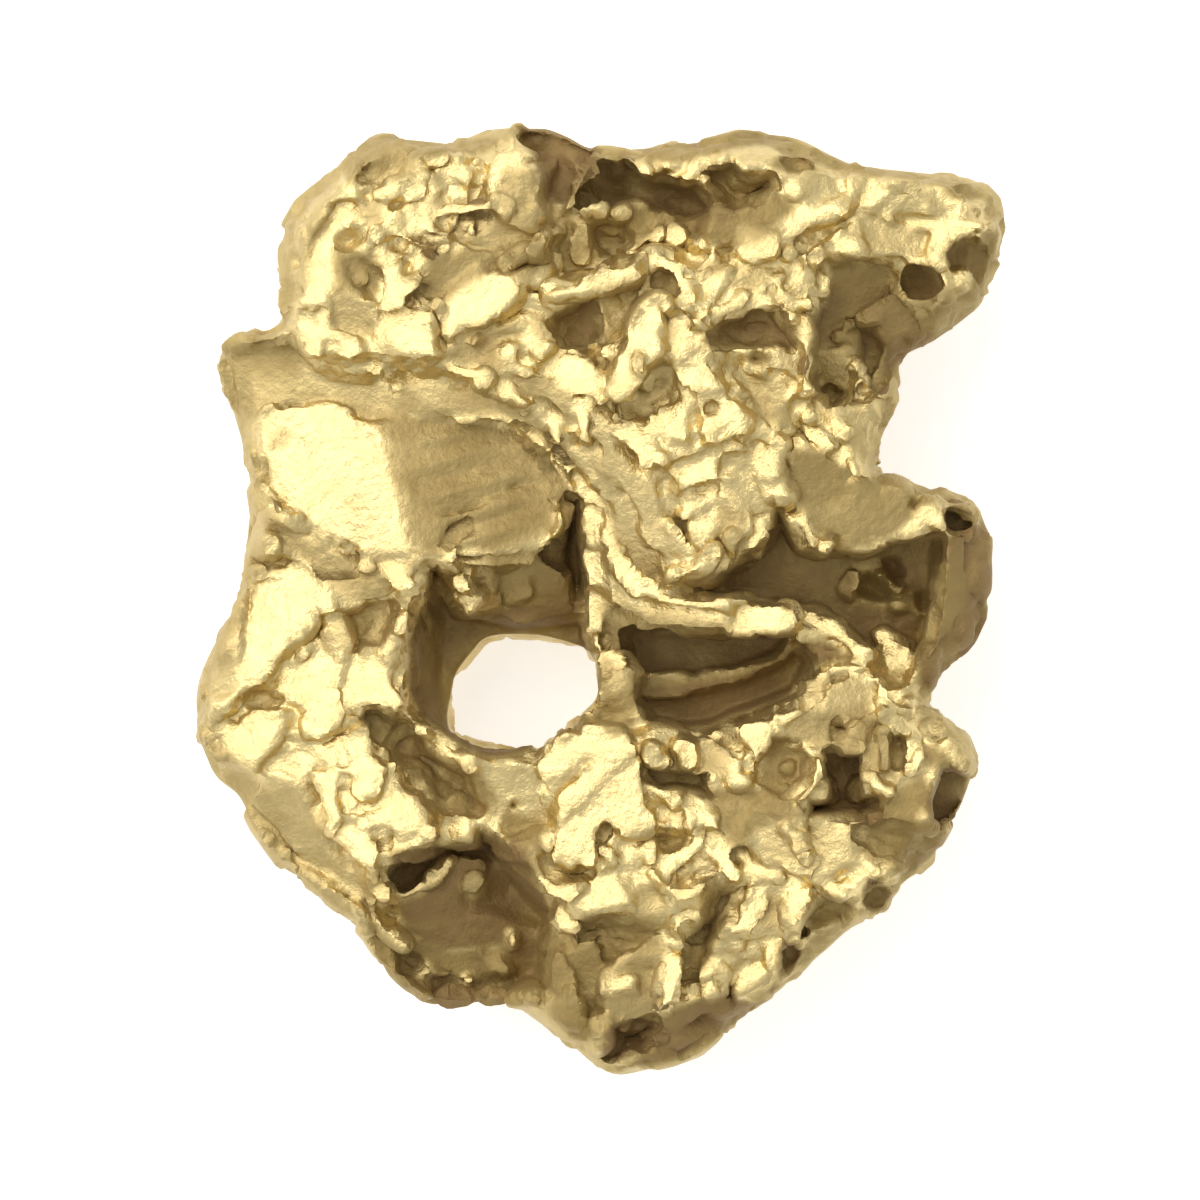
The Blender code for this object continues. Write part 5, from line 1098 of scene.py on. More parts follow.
# %% [markdown]
# ## The walls of the hole
#
# The front falls to the hole in steep walls, painted dark with stain and shade, with a shelf half-way
# on the upper side. The walls are terraces far below the rest. A pale knob and a few grains stand on
# the shelf.

# %% The walls of the hole
front.stain_and_shade(mm(-278, 59, -250, -2, -210, -21, -162, -11, -90, -2, -85, 62, -62, 86, -24, 150, -21, 62,
    -14, -66, 2, -146, -18, -165, -56, -200, -98, -232, -130, -251, -178, -253, -222, -234, -264, -206,
    -293, -182, -309, -146, -306, -66, -293, -21, -277, 3), 0.95, 0.1)
front.stain_and_shade(mm(-250, 69, -170, 78, -162, -11, -210, -21, -250, -2), 0.35, 0.12)
front.stain_and_shade(mm(-178, 69, -82, 86, -66, -2, -162, -14), 0.85, 0.12)
front.stain_and_shade(mm(-267, 69, -210, 72, -184, -2, -210, -27, -242, -5), -0.6, 0.12)
front.terrace(mm(-282, 53, -248, 69, -85, 82, -56, 94, -21, 150, -8, 62, -8, -66, 2, -146, -21, -162,
    -62, -197, -101, -229, -130, -248, -178, -253, -222, -234, -264, -206, -291, -181, -307, -146,
    -304, -66, -291, -21, -277, 2), 2.2, 0, 0.0, 0.16)
front.terrace(mm(-270, -2, -210, 14, -26, 22, 8, -66, -5, -120, -72, -174, -210, -226, -258, -194,
    -277, -130), 1.5, 0, 0.0, 0.5)
front.terrace(mm(-250, 62, -98, 78, -34, 38, -26, -34, -130, -42, -234, -21), 2.5, 275, 0.5, 0.2)
front.terrace(mm(-254, 72, -178, 78, -174, 5, -210, -21, -242, -2), 3.0, 170, 0.25, 0.15)
front.ridge(mm(-245, 70, -210, 14, -162, -8), 0.26, 0.15, 0.15)
front.facet(mm(-258, 69, -222, 74, -197, 43, -203, -2, -226, -14, -245, 11), lift=0.12)
front.facet(mm(-237, 37, -203, 40, -200, 14, -213, 8, -226, 14), lift=0.2)
front.sink(oval((-1.89, 0.29), (0.13, 0.13)), 0.4, 0.1)
front.facet(mm(-234, 5, -197, 5, -190, -18, -222, -22), 200, 0.3, 0.15)
front.facet(mm(-162, 43, -117, 53, -107, 14, -149, -2), 200, 0.25, 0.08)
front.tell("walls of the hole")

# %% [markdown]
# ## Hackle
#
# Fine crystals now grow over everything that is not a clean facet. Places noted for stain and painted
# shade keep less of them. The burnished planes that follow have none.

# %% Hackle
SMOOTH_AREAS = (
    mm(-602, 406, -482, 430, -290, 382, -130, 326, -2, 158, -66, 158, -90, 62, -258, 62, -482, 86,
        -578, 190),
    mm(-21, 165, 38, 86, 94, 30, 326, -5, 326, -66, 14, -106),
    mm(296, 230, 318, 254, 430, 226, 542, 178, 614, 139, 534, 86, 430, 75, 331, 114),
)
relief = crystals(points, 0.5, 0.34, 8.5) + crystals(points, 0.24, 0.26, 3.5)
growth = (1.0 - 0.8 * front.calm) * (1.0 - 0.6 * front.stain_and_shade_at(front.points))
rough = front.z + growth * relief
for area in SMOOTH_AREAS:
    rough += smooth_step(depth_inside(points, area) / 0.3) * (front.z - rough)
front.z = rough
front.tell("hackle")

# %% [markdown]
# ## The flap
#
# A tongue of metal was folded over and burnished against a stone. It ends in two planes that meet
# at a soft crease: an oval one that is bright, and a darker one with drawn-out scratches. Both
# planes are lower than the lobes around them. Broad bands climb back to those, and narrow facets
# catch the light along the fold.

# %% The flap
FLAP_FACES = 63.7
FLAP_SLOPE = 0.23

front.terrace(mm(-488, 395, -410, 387, -322, 382, -258, 379, -138, 392, -78, 354, -154, 331, -250, 341,
    -378, 344, -472, 354), 3.62, 215, 0.25, 0.2)
front.facet(mm(-450, 376, -386, 379, -322, 373, -258, 370, -251, 357, -322, 350, -402, 357), 160, 0.25,
    0.05, 0.12)
front.terrace(mm(-619, 406, -491, 418, -456, 370, -378, 362, -250, 360, -162, 338, -66, 270, -18, 190,
    -66, 158, -322, 206, -578, 254), 3.2, 200, 0.22, 0.3)
front.terrace(mm(-482, 75, -410, 69, -357, 62, -282, 69, -282, 5, -322, -2, -418, -11), 3.45, 230, 0.12,
    0.2)
front.terrace(mm(-571, 203, -542, 158, -488, 110, -410, 78, -282, 66, -282, 43, -410, 40, -446, 40,
    -491, 82, -542, 110, -571, 150), 3.3, 230, 0.45, 0.14)
front.stain_and_shade(mm(-568, 194, -542, 158, -488, 110, -410, 75, -282, 62, -306, 34, -346, 14, -366, -2,
    -410, -2, -453, 46, -498, 82, -542, 107), 0.5, 0.12)
front.terrace(mm(-398, 280, -322, 299, -210, 294, -122, 274, -56, 210, -34, 162, -69, 99, -162, 59,
    -250, 59, -325, 69, -402, 75, -402, 190), 3.367, FLAP_FACES, FLAP_SLOPE, 0.2)
front.terrace(mm(-538, 310, -498, 318, -434, 318, -410, 309, -389, 298, -363, 291, -373, 270, -347, 264,
    -362, 243, -341, 230, -352, 208, -328, 192, -339, 171, -318, 150, -330, 130, -304, 104, -322, 90,
    -318, 75, -366, 75, -405, 90, -442, 107, -472, 130, -502, 149, -534, 178, -558, 206, -565, 254,
    -558, 286), 3.269, 142, 0.24, 0.1)
front.terrace(mm(-154, 331, -98, 322, -62, 290, -18, 261, 22, 214, 62, 158, 86, 94, 107, 22, 62, 34,
    27, 78, 8, 126, -14, 174, -56, 219, -90, 251, -130, 280, -162, 306), 3.62, 228, 0.42, 0.2)
front.stain_and_shade(mm(-634, 414, -482, 421, -456, 370, -378, 362, -242, 360, -162, 338, -66, 270, -18, 190,
    -46, 190, -114, 274, -210, 296, -322, 299, -418, 322, -536, 315, -584, 254), 0.45, 0.15)
front.stain_and_shade(mm(14, 158, 46, 94, 94, 43, 158, 14, 107, 11, 62, 34, 27, 78), 0.4, 0.1)
front.stain_and_shade(mm(-66, 270, -18, 261, 22, 214, 70, 158, 94, 94, 107, 22, 62, 34, 27, 78, 8, 126, -14, 178),
    0.2, 0.15)
front.stain_and_shade(mm(-562, 206, -539, 158, -494, 114, -434, 85, -322, 69, -282, 62, -290, -2, -410, -18,
    -426, 30, -482, 86, -538, 126), 0.15, 0.12)
front.stain_and_shade(mm(-354, 280, -322, 296, -210, 293, -117, 270, -56, 206, -40, 162, -72, 107, -162, 78,
    -222, 83, -245, 66, -302, 78, -315, 126, -325, 174, -341, 238), 0.72, 0.14)
for streak in (
    mm(-322, 206, -242, 226, -154, 254), mm(-309, 158, -210, 181, -90, 219), mm(-302, 118, -210, 139,
        -98, 171),
    mm(-314, 245, -242, 264, -162, 280), mm(-258, 86, -178, 104, -85, 139),
):
    front.ridge(streak, 0.13, 0.045, 0.3)
for groove in (mm(-318, 184, -226, 203, -130, 235), mm(-306, 139, -210, 158, -90, 197), mm(-290, 98,
    -194, 123, -90, 158)):
    front.ridge(groove, 0.11, -0.045, 0.3)
front.terrace(mm(-149, 360, -82, 357, -27, 309, -2, 306, 18, 280, 24, 251, 8, 235, -11, 254, -42, 270,
    -90, 318, -130, 331), 3.9, 215, 0.25, 0.15)
front.stain_and_shade(mm(-149, 360, -82, 357, -46, 322, -43, 270, -90, 318, -130, 331), 0.45, 0.1)
front.facet(mm(-40, 325, -13, 322, -11, 251, -37, 251, -43, 286), lift=0.1, soft=0.12)
front.facet(mm(-86, 296, -62, 299, -56, 254, -62, 235, -78, 242, -86, 264), lift=0.12, soft=0.12)
front.stain_and_shade(mm(-536, 267, -510, 283, -491, 270, -504, 242, -533, 245), 0.4, 0.1)
front.stain_and_shade(mm(-634, 427, -506, 427, -482, 406, -482, 331, -542, 315, -590, 299), 0.6, 0.15)
front.stain_and_shade(mm(-453, 331, -410, 322, -363, 306, -302, 315, -302, 286, -360, 270, -366, 291, -410, 309),
    0.6, 0.1)
front.terrace(mm(-114, 274, -72, 242, -34, 200, -11, 171, -37, 155, -72, 190, -104, 226, -130, 254),
    3.38, 225, 0.45, 0.15)
front.terrace(mm(-2, 261, 21, 254, 43, 232, 69, 206, 94, 200, 104, 158, 110, 102, 86, 86, 62, 123,
    34, 171, 2, 213), 3.88, 225, 0.28, 0.25)
front.stain_and_shade(mm(-2, 254, 43, 229, 69, 203, 78, 158, 86, 94, 62, 123, 34, 171), 0.25, 0.12)
front.facet(mm(-242, 302, -162, 298, -123, 282, -82, 250, -43, 214, -14, 179, -24, 170, -53, 198,
    -88, 232, -130, 266, -165, 285, -242, 290), lift=0.12, soft=0.08)
front.facet(mm(-254, 386, -197, 376, -142, 350, -104, 315, -120, 306, -158, 325, -203, 347, -251, 360),
    130, 0.35, 0.2, 0.12)
front.ridge(mm(-258, 366, -234, 349, -216, 341), 0.1, -0.12)
front.stain_and_shade(mm(-482, 398, -410, 389, -258, 386, -210, 363, -248, 338, -378, 341, -472, 350), -0.7, 0.1)
front.facet(oval((-3.62, 3.68), (0.2, 0.13), -30), lift=0.12)
front.facet(oval((-3.28, 3.41), (0.13, 0.1)), lift=0.07)
front.ridge(mm(-562, 194, -539, 158, -494, 114, -434, 85, -322, 69), 0.1, -0.06)
front.facet(mm(-360, 53, -347, 66, -318, 69, -302, 46, -283, 30, -293, 13, -322, 5, -341, 18),
    lift=0.15)
front.facet(oval((-3.76, 0.59), (0.13, 0.1)), lift=0.15)
front.ridge(mm(-264, 77, -234, 109, -200, 130), 0.1, -0.12)
front.facet(mm(-254, 69, -242, 86, -226, 98, -222, 69, -232, 50, -250, 53), lift=0.2)
front.facet(mm(-80, 162, -59, 152, -50, 136, -62, 107, -83, 93, -72, 120), lift=0.25, soft=0.1)
front.facet(mm(-229, 56, -162, 72, -90, 93, -82, 82, -154, 56, -219, 38), UP_LEFT, 0.25, 0.15, 0.1)
front.stain_and_shade(mm(-219, 53, -162, 69, -90, 90, -82, 78, -154, 53, -216, 35), 0.2, 0.1)
front.ridge(mm(-149, 174, -130, 187, -106, 190, -88, 181), 0.1, -0.05)
for dimple in mm(-533, 270, -510, 259, -520, 242, -498, 277, -526, 203, -482, 254):
    front.lump(dimple, (0.12, 0.09), -0.05)
front.tell("flap")

# %% [markdown]
# ## The strip
#
# The edge of the flap runs on as a strip that curls down past the hole and away to the right. Its
# crest is one bright ramp, with a duller face below it. Under that face is a long recess, the
# darkest place of the whole front, split by a thin shelf.

# %% The strip
front.terrace(mm(-53, 166, -24, 163, -21, 62, -18, -58, 2, -101, -8, -130, -21, -66, -53, 62), 1.9, 0,
    0.0, 0.12)
front.terrace(mm(-21, 158, 2, 146, 18, 86, 62, 14, 101, -8, 158, -16, 242, -16, 315, -8, 326, -30,
    302, -50, 214, -51, 142, -50, 78, -45, 27, -27, -5, 14), 3.7, 188, 0.24, 0.1)
front.terrace(mm(85, -114, 158, -117, 230, -110, 310, -66, 338, -98, 315, -146, 262, -168, 214, -184,
    182, -200, 142, -206, 86, -197, 59, -162), 2.1, 290, 0.35, 0.16)
front.facet(mm(5, -2, 62, -37, 78, -59, 50, -94, 14, -78, 2, -50), 240, 0.6, -0.25, 0.12)
front.terrace(mm(40, -56, 70, -51, 158, -54, 230, -54, 318, -50, 286, -85, 230, -107, 158, -120,
    78, -120, 53, -98), 1.8, 0, 0.0, 0.1)
front.terrace(mm(-46, 203, -24, 203, -2, 184, 18, 146, 27, 110, 42, 72, 70, 35, 107, 16, 158, 6, 242, 5,
    242, -19, 158, -19, 101, -11, 59, 8, 21, 50, -3, 91, -19, 139, -40, 174), 3.636, UP_LEFT, 0.25, 0.1)
front.stain_and_shade(mm(-56, 216, -8, 184, 27, 86, 78, 38, 158, 11, 242, 8, 242, -18, 101, -8, 26, 53, -18, 158),
    -0.7, 0.1)
front.facet(mm(214, -5, 302, -5, 325, -22, 323, -40, 299, -53, 214, -54), lift=0.1, soft=0.1)
front.terrace(mm(-30, 155, 2, 146, 11, 86, -27, 82), 3.3, 145, 0.3, 0.1)
front.terrace(mm(-29, 86, 11, 86, 11, 14, -27, 11), 3.25, 145, 0.3, 0.1)
front.terrace(mm(-27, 18, 11, 18, 10, -59, -26, -59), 3.1, 145, 0.3, 0.1)
front.clear_stain_and_shade(mm(-30, 155, 2, 146, 11, 14, 10, -59, -26, -59))
front.facet(mm(-21, -53, 2, -56, 14, -78, 40, -94, 30, -112, 2, -99, -18, -75), lift=0.45, soft=0.1)
front.facet(mm(66, -120, 158, -122, 226, -110, 283, -88, 318, -62, 328, -75, 293, -107, 232, -133,
    158, -150, 69, -152), 110, 0.22, 0.12, 0.12)
front.stain_and_shade(mm(-53, 166, -27, 163, -26, 62, -21, -66, -50, 62), 0.9, 0.08)
front.stain_and_shade(mm(43, -56, 75, -51, 158, -54, 230, -54, 315, -50, 286, -85, 230, -106, 158, -118, 78, -118,
    53, -98), 1.0, 0.06)
front.stain_and_shade(mm(5, -14, 62, -37, 78, -59, 53, -91, 18, -78, 3, -50), 0.7, 0.1)
front.stain_and_shade(mm(-2, 2, 62, -11, 158, -29, 210, -32, 214, -66, 78, -59, 5, -42), 0.55, 0.12)
front.stain_and_shade(mm(66, -120, 158, -122, 226, -110, 283, -88, 318, -62, 328, -78, 293, -110, 232, -136,
    158, -152, 69, -152), 0.62, 0.08)
front.stain_and_shade(mm(50, -130, 72, -130, 158, -130, 230, -117, 294, -94, 328, -66, 370, -69, 418, -94,
    370, -101, 338, -104, 323, -130, 310, -152, 267, -171, 219, -187, 182, -203, 142, -210, 78, -200,
    56, -168), 1.0, 0.1)
front.stain_and_shade(mm(318, -136, 398, -110, 446, -146, 430, -187, 318, -184), 0.35, 0.12)
front.ramp(mm(315, -8, 350, -11, 386, -30, 414, -56, 443, -88, 421, -98, 392, -75, 363, -53, 328, -40),
    3.3, 0.3, 0.1, clean=False)
front.facet(mm(216, -194, 258, -186, 283, -197, 270, -238, 248, -262, 232, -235), 132, 0.42, 0.15, 0.12)
front.facet(mm(274, -184, 318, -162, 331, -178, 290, -210), 132, 0.42, 0.15, 0.12)
front.stain_and_shade(mm(8, -149, 62, -139, 62, -203, 22, -222, -8, -190), 0.8, 0.12)
front.stain_and_shade(mm(2, -85, 34, -104, 62, -117, 62, -149, 5, -152, -5, -117), 0.45, 0.12)
front.tell("strip")

# %% [markdown]
# ## Back
#
# The back has lain on the river bed. Five worn flats carry the weight, all at one height, so the
# nugget lies still. Wide dents and hackle lie between them.

# %% Back
BACK_DENTS = (
    mm(-498, 286, -290, 190, -130, 206),
    mm(30, 606, 142, 430, 158, 318),
    mm(158, 62, 366, -2, 526, 14),
    mm(-354, -450, -210, -322, -2, -322),
    mm(254, -482, 158, -530, 142, -610),
)
WORN_PATCHES = (
    mm(-450, 614, -290, 654, -234, 558, -290, 446, -426, 462),
    mm(286, 654, 486, 630, 502, 539, 382, 478, 270, 539),
    mm(-542, -90, -398, -66, -338, -194, -418, -322, -542, -266),
    mm(94, -226, 318, -194, 446, -290, 366, -421, 190, -450, 78, -354),
    mm(-42, -578, 94, -554, 158, -642, 62, -698, -26, -650),
)
back = Face(points, 0.5)
back.z += 0.5 * np.array([noise.noise(Vector((x / 2.4, y / 2.4, 7.3))) for x, y in points])
for dent in BACK_DENTS:
    back.ridge(dent, 0.95, 0.75, 0.35)
back.ridge(mm(-234, 622, -162, 430, -2, 286, 190, 206, 318, 62), 0.45, -0.4, 0.2)
back.lump((-2.1, -4.5), (1.0, 0.8), -0.35)
back.z += hackle(points, 1.15, 0.55, 4.5)
back.z += hackle(points, 0.575, 0.55, 2.5)
back.z += hackle(points, 0.26, 0.5, 9.5)
for patch in WORN_PATCHES:
    back.terrace(patch, -0.1, soft=1.3)
back.tell("back")

# %% [markdown]
# ## Body
#
# The two faces meet at a rim that wanders up and down around the outline. The front rounds over
# quickly and the back in a wide curve, as a pebble does. The metal keeps a least thickness
# everywhere, so that no hollow breaks through.

# %% Body
RIM_MM = 1.75
RIM_WANDER_MM = 0.9
RIM_ROUND_MM = (0.45, 1.25)
RIM_SHARE = 0.24
SKIN_MM = 0.045
THINNEST_MM = 0.45


def rounded_over(depth, reach):
    """Quarter circle: 0 at the rim, 1 from `reach` inwards."""
    inwards = 1.0 - np.clip(depth / reach, 0.0, 1.0)
    return np.sqrt(1.0 - inwards**2)


def rim_height(points):
    """Height at which front and back meet, wandering around the outline."""
    wander = [noise.noise(Vector((x / 2.6, y / 2.6, 11.7))) for x, y in points]
    return RIM_MM + RIM_WANDER_MM * np.array(wander)


share = np.clip(places[:, 2] / PLATE_MM + 0.5, 0.0, 1.0)
depth = depth_inside(points, OUTLINE)
over_front, over_back = (
    RIM_SHARE + (1.0 - RIM_SHARE) * rounded_over(depth, reach) for reach in RIM_ROUND_MM
)
rim = rim_height(points)
through = front.z < back.z + THINNEST_MM
front.z = np.maximum(front.z, back.z + THINNEST_MM)
top = rim + (front.z - rim) * over_front
bottom = rim + (back.z - rim) * over_back
places[:, 2] = bottom + (top - bottom) * share
set_coordinates(body, places)
print("lifted to the least thickness:", round(100 * through.mean(), 2), "% of the front")

# %% [markdown]
# ## Lip
#
# The free edge of the flap hangs a little over the hole. It is a thin plate of its own, laid in
# the plane of the flap. Remeshing both together makes them one closed skin, since the nugget is
# one piece.

# %% Lip
LIP = mm(-162, 174, -66, 168, -43, 146, -62, 94, -130, 59, -210, 53, -251, 82, -258, 126)
LIP_HEIGHT_MM = 3.03
LIP_THICK_MM = 0.28

lip = plate("lip", (LIP,), -LIP_THICK_MM / 2, LIP_THICK_MM / 2)
lip_places = coordinates(lip)
lip_places[:, :2] /= NEARER_THE_EYE
down_the_flap = (lip_places[:, :2] - np.array(LIP[0])) @ compass(FLAP_FACES)
lip_places[:, 2] += LIP_HEIGHT_MM - FLAP_SLOPE * down_the_flap
set_coordinates(lip, lip_places)
together = bmesh.new()
for part_of_it in (body, lip):
    together.from_mesh(part_of_it)
merged = bpy.data.meshes.new("merged")
together.to_mesh(merged)
together.free()
skin = finished_by("skin", merged, "REMESH", mode="VOXEL", voxel_size=SKIN_MM)
print("the skin has", len(skin.vertices), "points")

# %% [markdown]
# ## Sides
#
# The sides were torn and then worn. Hackle is cut into them above and below the rim, but the rim
# keeps its outline. One light smoothing takes off the burrs, as sand would. Then the
# mesh is thinned, most of all where it is flat.

# %% Sides
SIDE_HACKLE = ((1.3, 0.9, 6.5), (0.55, 0.75, 2.5), (0.25, 0.6, 4.5))  # width, slope and seed
DEEPEST_CUT_MM = 0.35
TRIANGLES = 190000


def roughened_sides(mesh):
    """Cuts hackly facets into the sides, above and below the rim, which keeps its outline."""
    places = coordinates(mesh)
    normals = np.empty(len(mesh.vertices) * 3, np.float32)
    mesh.vertex_normals.foreach_get("vector", normals)
    normals = normals.reshape(-1, 3)
    upright = 1.0 - smooth_step((np.abs(normals[:, 2]) - 0.6) / 0.3)
    clear = smooth_step((np.abs(places[:, 2] - rim_height(places[:, :2])) - 0.25) / 0.5)
    cuts = np.zeros(len(places))
    side = np.flatnonzero(upright * clear > 0)
    for width, slope, seed in SIDE_HACKLE:
        cuts[side] += hackle(places[side], width, slope, seed)
    cuts = np.clip(cuts, -DEEPEST_CUT_MM, 0.1)
    set_coordinates(mesh, places + normals * (upright * clear * cuts)[:, None])


roughened_sides(skin)
soft = bmesh.new()
soft.from_mesh(skin)
bmesh.ops.smooth_vert(
    soft, verts=soft.verts, factor=0.25, use_axis_x=True, use_axis_y=True, use_axis_z=True
)
soft.to_mesh(skin)
soft.free()
nugget_mesh = finished_by("thin", skin, "DECIMATE", ratio=TRIANGLES / (2 * len(skin.polygons)))
print("thinned from", len(skin.polygons), "to", len(nugget_mesh.polygons), "faces")

# %% [markdown]
# ## Place
#
# The nugget is brought from millimetres to the solid's own size and place, and rests on
# height 0. Only edges sharper than 38 degrees stay crisp.

# %% Place
CRISP_DEGREES = 38

made_places = coordinates(nugget_mesh)
places = made_places.copy()
places[:, 2] = np.maximum(places[:, 2], 0.0)
low, high = places.min(axis=0), places.max(axis=0)
scale = (solid_high.y - solid_low.y) / (high[1] - low[1])
middle = np.array([(low[0] + high[0]) / 2, (low[1] + high[1]) / 2, 0.0])
centre = (solid_low + solid_high) / 2
set_coordinates(nugget_mesh, (places - middle) * scale + np.array([centre.x, centre.y, solid_low.z]))
nugget = bpy.data.objects.new("nugget_surface", nugget_mesh)
bpy.context.collection.objects.link(nugget)
nugget_mesh.shade_smooth()
nugget_mesh.set_sharp_from_angle(angle=math.radians(CRISP_DEGREES))
print("brought to size by", round(scale, 6))

# %% [markdown]
# ## Stain and painted shade
#
# Closed-in places are painted darker, as shade. Short rays from each point measure how closed in it
# is. That joins the stain and painted shade that the strokes noted, and a little more painted shade
# along the rim and on steep walls. The result rides on the mesh as an attribute.

# %% Stain and painted shade
RAYS = 14
REACH = 0.0018
RIM_SHADE = 0.5
WALL_SHADE = 0.1


def shelter_of(mesh):
    """How closed in each point is: the share of short rays out of it that meet the metal again."""
    shape = bmesh.new()
    shape.from_mesh(mesh)
    tree = BVHTree.FromBMesh(shape)
    golden = math.pi * (3 - math.sqrt(5))
    fan = []
    for step in range(RAYS):
        height = (step + 0.5) / RAYS
        around = golden * step
        flat = math.sqrt(1 - height * height)
        fan.append(Vector((flat * math.cos(around), flat * math.sin(around), height)))
    shelter = np.zeros(len(shape.verts))
    up = Vector((0, 0, 1))
    for vert in shape.verts:
        turn = up.rotation_difference(vert.normal)
        start = vert.co + vert.normal * 1e-5
        hits = [tree.ray_cast(start, turn @ ray, REACH)[0] for ray in fan]
        shelter[vert.index] = sum(hit is not None for hit in hits) / RAYS
    shape.free()
    return shelter


# Painted shade: the share of rays that meet the metal darkens each point.
shelter = shelter_of(nugget_mesh)
on_front = smooth_step((made_places[:, 2] - rim_height(made_places[:, :2])) / 0.4 + 1.0)
noted = front.stain_and_shade_at(made_places[:, :2] * NEARER_THE_EYE) * on_front
# Painted shade along the rim and on steep walls, where the slopes look darker.
edge = 1.0 - smooth_step((depth_inside(made_places[:, :2], OUTLINE) - 0.14) / 0.25)
noted = np.maximum(noted, RIM_SHADE * edge)
normals = np.empty(len(made_places) * 3, np.float32)
nugget_mesh.vertex_normals.foreach_get("vector", normals)
steep = 1.0 - smooth_step((normals[2::3] - 0.55) / 0.35)
noted = np.maximum(noted, WALL_SHADE * steep)
# Closed-in points are painted darker on top of the noted stain and painted shade.
stain_and_shade = 1.0 - (1.0 - noted) * (1.0 - smooth_step((shelter - 0.6) / 0.4))
layer = nugget_mesh.attributes.new("stain_and_shade", "FLOAT", "POINT")
layer.data.foreach_set("value", stain_and_shade.astype(np.float32))
print("mean shelter", round(float(shelter.mean()), 3))

# %% [markdown]
# ## Gold
#
# Native gold is pale, warm and soft, so it is never mirror-bright: the roughness wanders with a
# fine grain. Where the stain and painted shade grow, the colour turns from gold to khaki to brown, and
# the surface gets duller and less metallic. A very fine bump breaks up the reflections between the
# points of the mesh.

# %% Gold
# KHAKI and BROWN are the colours of stain and painted shade; PALE_GOLD is the clean metal.
PALE_GOLD = (0.785, 0.635, 0.30, 1)
KHAKI = (0.37, 0.27, 0.095, 1)
BROWN = (0.30, 0.20, 0.075, 1)

gold = bpy.data.materials.new("native_gold")
gold.use_nodes = True
nodes, links = gold.node_tree.nodes, gold.node_tree.links
surface = nodes["Principled BSDF"]
place = nodes.new("ShaderNodeTexCoord")


def speckle(scale, detail, roughness=0.5):
    """Noise that keeps its place on the metal."""
    texture = nodes.new("ShaderNodeTexNoise")
    texture.inputs["Scale"].default_value = scale
    texture.inputs["Detail"].default_value = detail
    texture.inputs["Roughness"].default_value = roughness
    links.new(place.outputs["Object"], texture.inputs["Vector"])
    return texture.outputs["Fac"]


def spread(value, low, high, source=(0.0, 1.0)):
    """Brings a value from its own range to another one."""
    ranges = nodes.new("ShaderNodeMapRange")
    ranges.inputs["From Min"].default_value, ranges.inputs["From Max"].default_value = source
    ranges.inputs["To Min"].default_value = low
    ranges.inputs["To Max"].default_value = high
    links.new(value, ranges.inputs["Value"])
    return ranges.outputs["Result"]


# The attribute holds stain and painted shade from the strokes, the rays, the rim and the walls.
noted_stain_and_shade = nodes.new("ShaderNodeAttribute")
noted_stain_and_shade.attribute_name = "stain_and_shade"
stained_and_shaded = nodes.new("ShaderNodeMath")
stained_and_shaded.operation = "ADD"
stained_and_shaded.use_clamp = True
links.new(noted_stain_and_shade.outputs["Fac"], stained_and_shaded.inputs[0])
links.new(spread(speckle(1400, 3), -0.12, 0.12, (0.3, 0.7)), stained_and_shaded.inputs[1])
colour = nodes.new("ShaderNodeValToRGB")
colour.color_ramp.elements[0].color = PALE_GOLD
colour.color_ramp.elements[1].color = BROWN
colour.color_ramp.elements.new(0.85).color = KHAKI
links.new(stained_and_shaded.outputs["Value"], colour.inputs["Fac"])
links.new(colour.outputs["Color"], surface.inputs["Base Color"])
links.new(spread(stained_and_shaded.outputs["Value"], 1.0, 0.45), surface.inputs["Metallic"])
duller = nodes.new("ShaderNodeMath")
duller.operation = "MULTIPLY_ADD"
duller.inputs[1].default_value = 0.3
links.new(stained_and_shaded.outputs["Value"], duller.inputs[0])
links.new(spread(speckle(2500, 4), 0.30, 0.42, (0.35, 0.65)), duller.inputs[2])
links.new(duller.outputs["Value"], surface.inputs["Roughness"])
bump = nodes.new("ShaderNodeBump")
bump.inputs["Strength"].default_value = 1.0
bump.inputs["Distance"].default_value = 0.00004
links.new(speckle(6500, 4, 0.6), bump.inputs["Height"])
links.new(bump.outputs["Normal"], surface.inputs["Normal"])
nugget_mesh.materials.clear()
nugget_mesh.materials.append(gold)
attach(nugget, "root")
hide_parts("gold_nugget")
print("the gold has", len(nodes), "shader nodes")

# %% [markdown]
# ## Floor and light
#
# A pale floor and one soft lamp at the upper left, with a plain sky that is brighter on that side.
# The sky fills the shadows, as a white room would.

# %% Floor and light
FLOOR_HALF_M = 0.5
FLOOR_DROP_M = 0.00002  # just below the worn patches, so the two never share a plane
SKY_BRIGHT_SIDE = (-0.45, 0.45, 0.77)

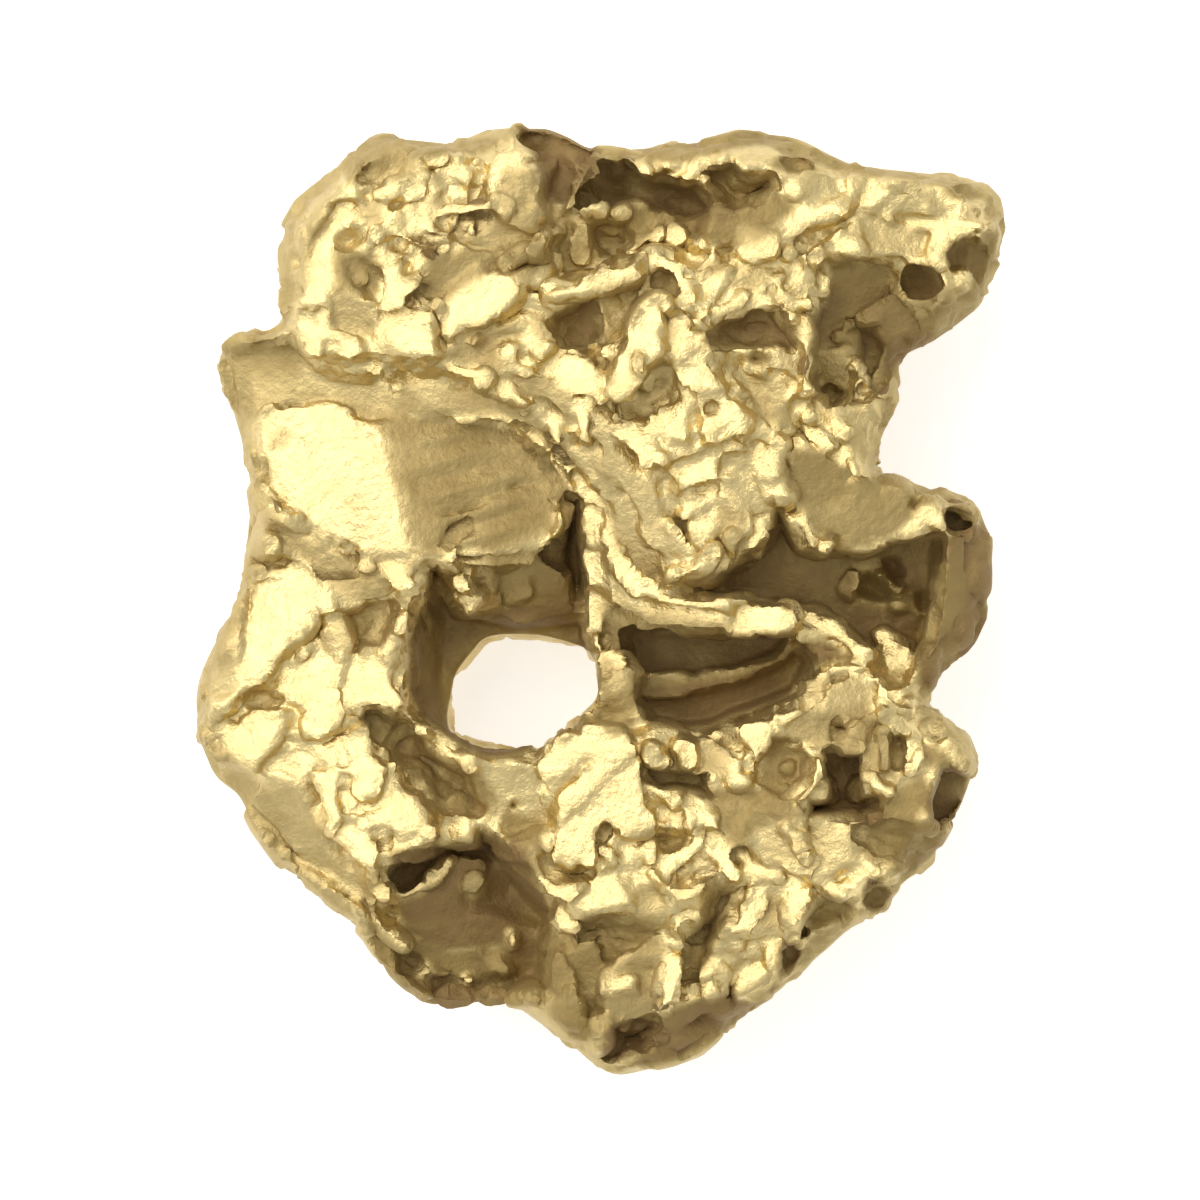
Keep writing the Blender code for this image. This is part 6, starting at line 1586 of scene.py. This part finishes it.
ground = bmesh.new()
bmesh.ops.create_grid(ground, x_segments=1, y_segments=1, size=FLOOR_HALF_M)
ground_mesh = bpy.data.meshes.new("floor")
ground.to_mesh(ground_mesh)
ground.free()
floor = bpy.data.objects.new("floor", ground_mesh)
floor.location.z = -FLOOR_DROP_M
bpy.context.collection.objects.link(floor)
pale = bpy.data.materials.new("pale_floor")
pale.use_nodes = True
paint = pale.node_tree.nodes["Principled BSDF"]
paint.inputs["Base Color"].default_value = (0.75, 0.75, 0.75, 1)
paint.inputs["Roughness"].default_value = 0.8
paint.inputs["Emission Color"].default_value = (1, 1, 1, 1)
paint.inputs["Emission Strength"].default_value = 0.6
ground_mesh.materials.append(pale)


def soft_box(name, direction, distance, size, power, colour):
    """A square lamp that looks at the nugget from some way off."""
    light = bpy.data.lights.new(name, "AREA")
    light.color = colour
    light.size = size
    light.energy = power
    lamp = bpy.data.objects.new(name, light)
    place = Vector(direction).normalized() * distance
    lamp.location = place
    lamp.rotation_euler = (-place).to_track_quat("-Z", "Y").to_euler()
    bpy.context.collection.objects.link(lamp)


soft_box("key", (-0.8, 0.8, 1.25), 0.3, 0.30, 0.52, (1.0, 0.93, 0.89))
world = bpy.data.worlds.new("studio")
world.use_nodes = True
sky = world.node_tree
direction = sky.nodes.new("ShaderNodeTexCoord")
towards = sky.nodes.new("ShaderNodeVectorMath")
towards.operation = "DOT_PRODUCT"
towards.inputs[1].default_value = SKY_BRIGHT_SIDE
sky.links.new(direction.outputs["Generated"], towards.inputs[0])
fade = sky.nodes.new("ShaderNodeMapRange")
fade.inputs["From Min"].default_value = -0.3
fade.inputs["From Max"].default_value = 1.0
fade.inputs["To Min"].default_value = 0.46
fade.inputs["To Max"].default_value = 0.95
sky.links.new(towards.outputs["Value"], fade.inputs["Value"])
sky.links.new(fade.outputs["Result"], sky.nodes["Background"].inputs["Strength"])
sky.nodes["Background"].inputs["Color"].default_value = (1, 0.98, 0.95, 1)
bpy.context.scene.world = world
bpy.context.scene.view_settings.view_transform = "Standard"
print("lights:", [item.name for item in bpy.data.lights], "sky:", world.name)
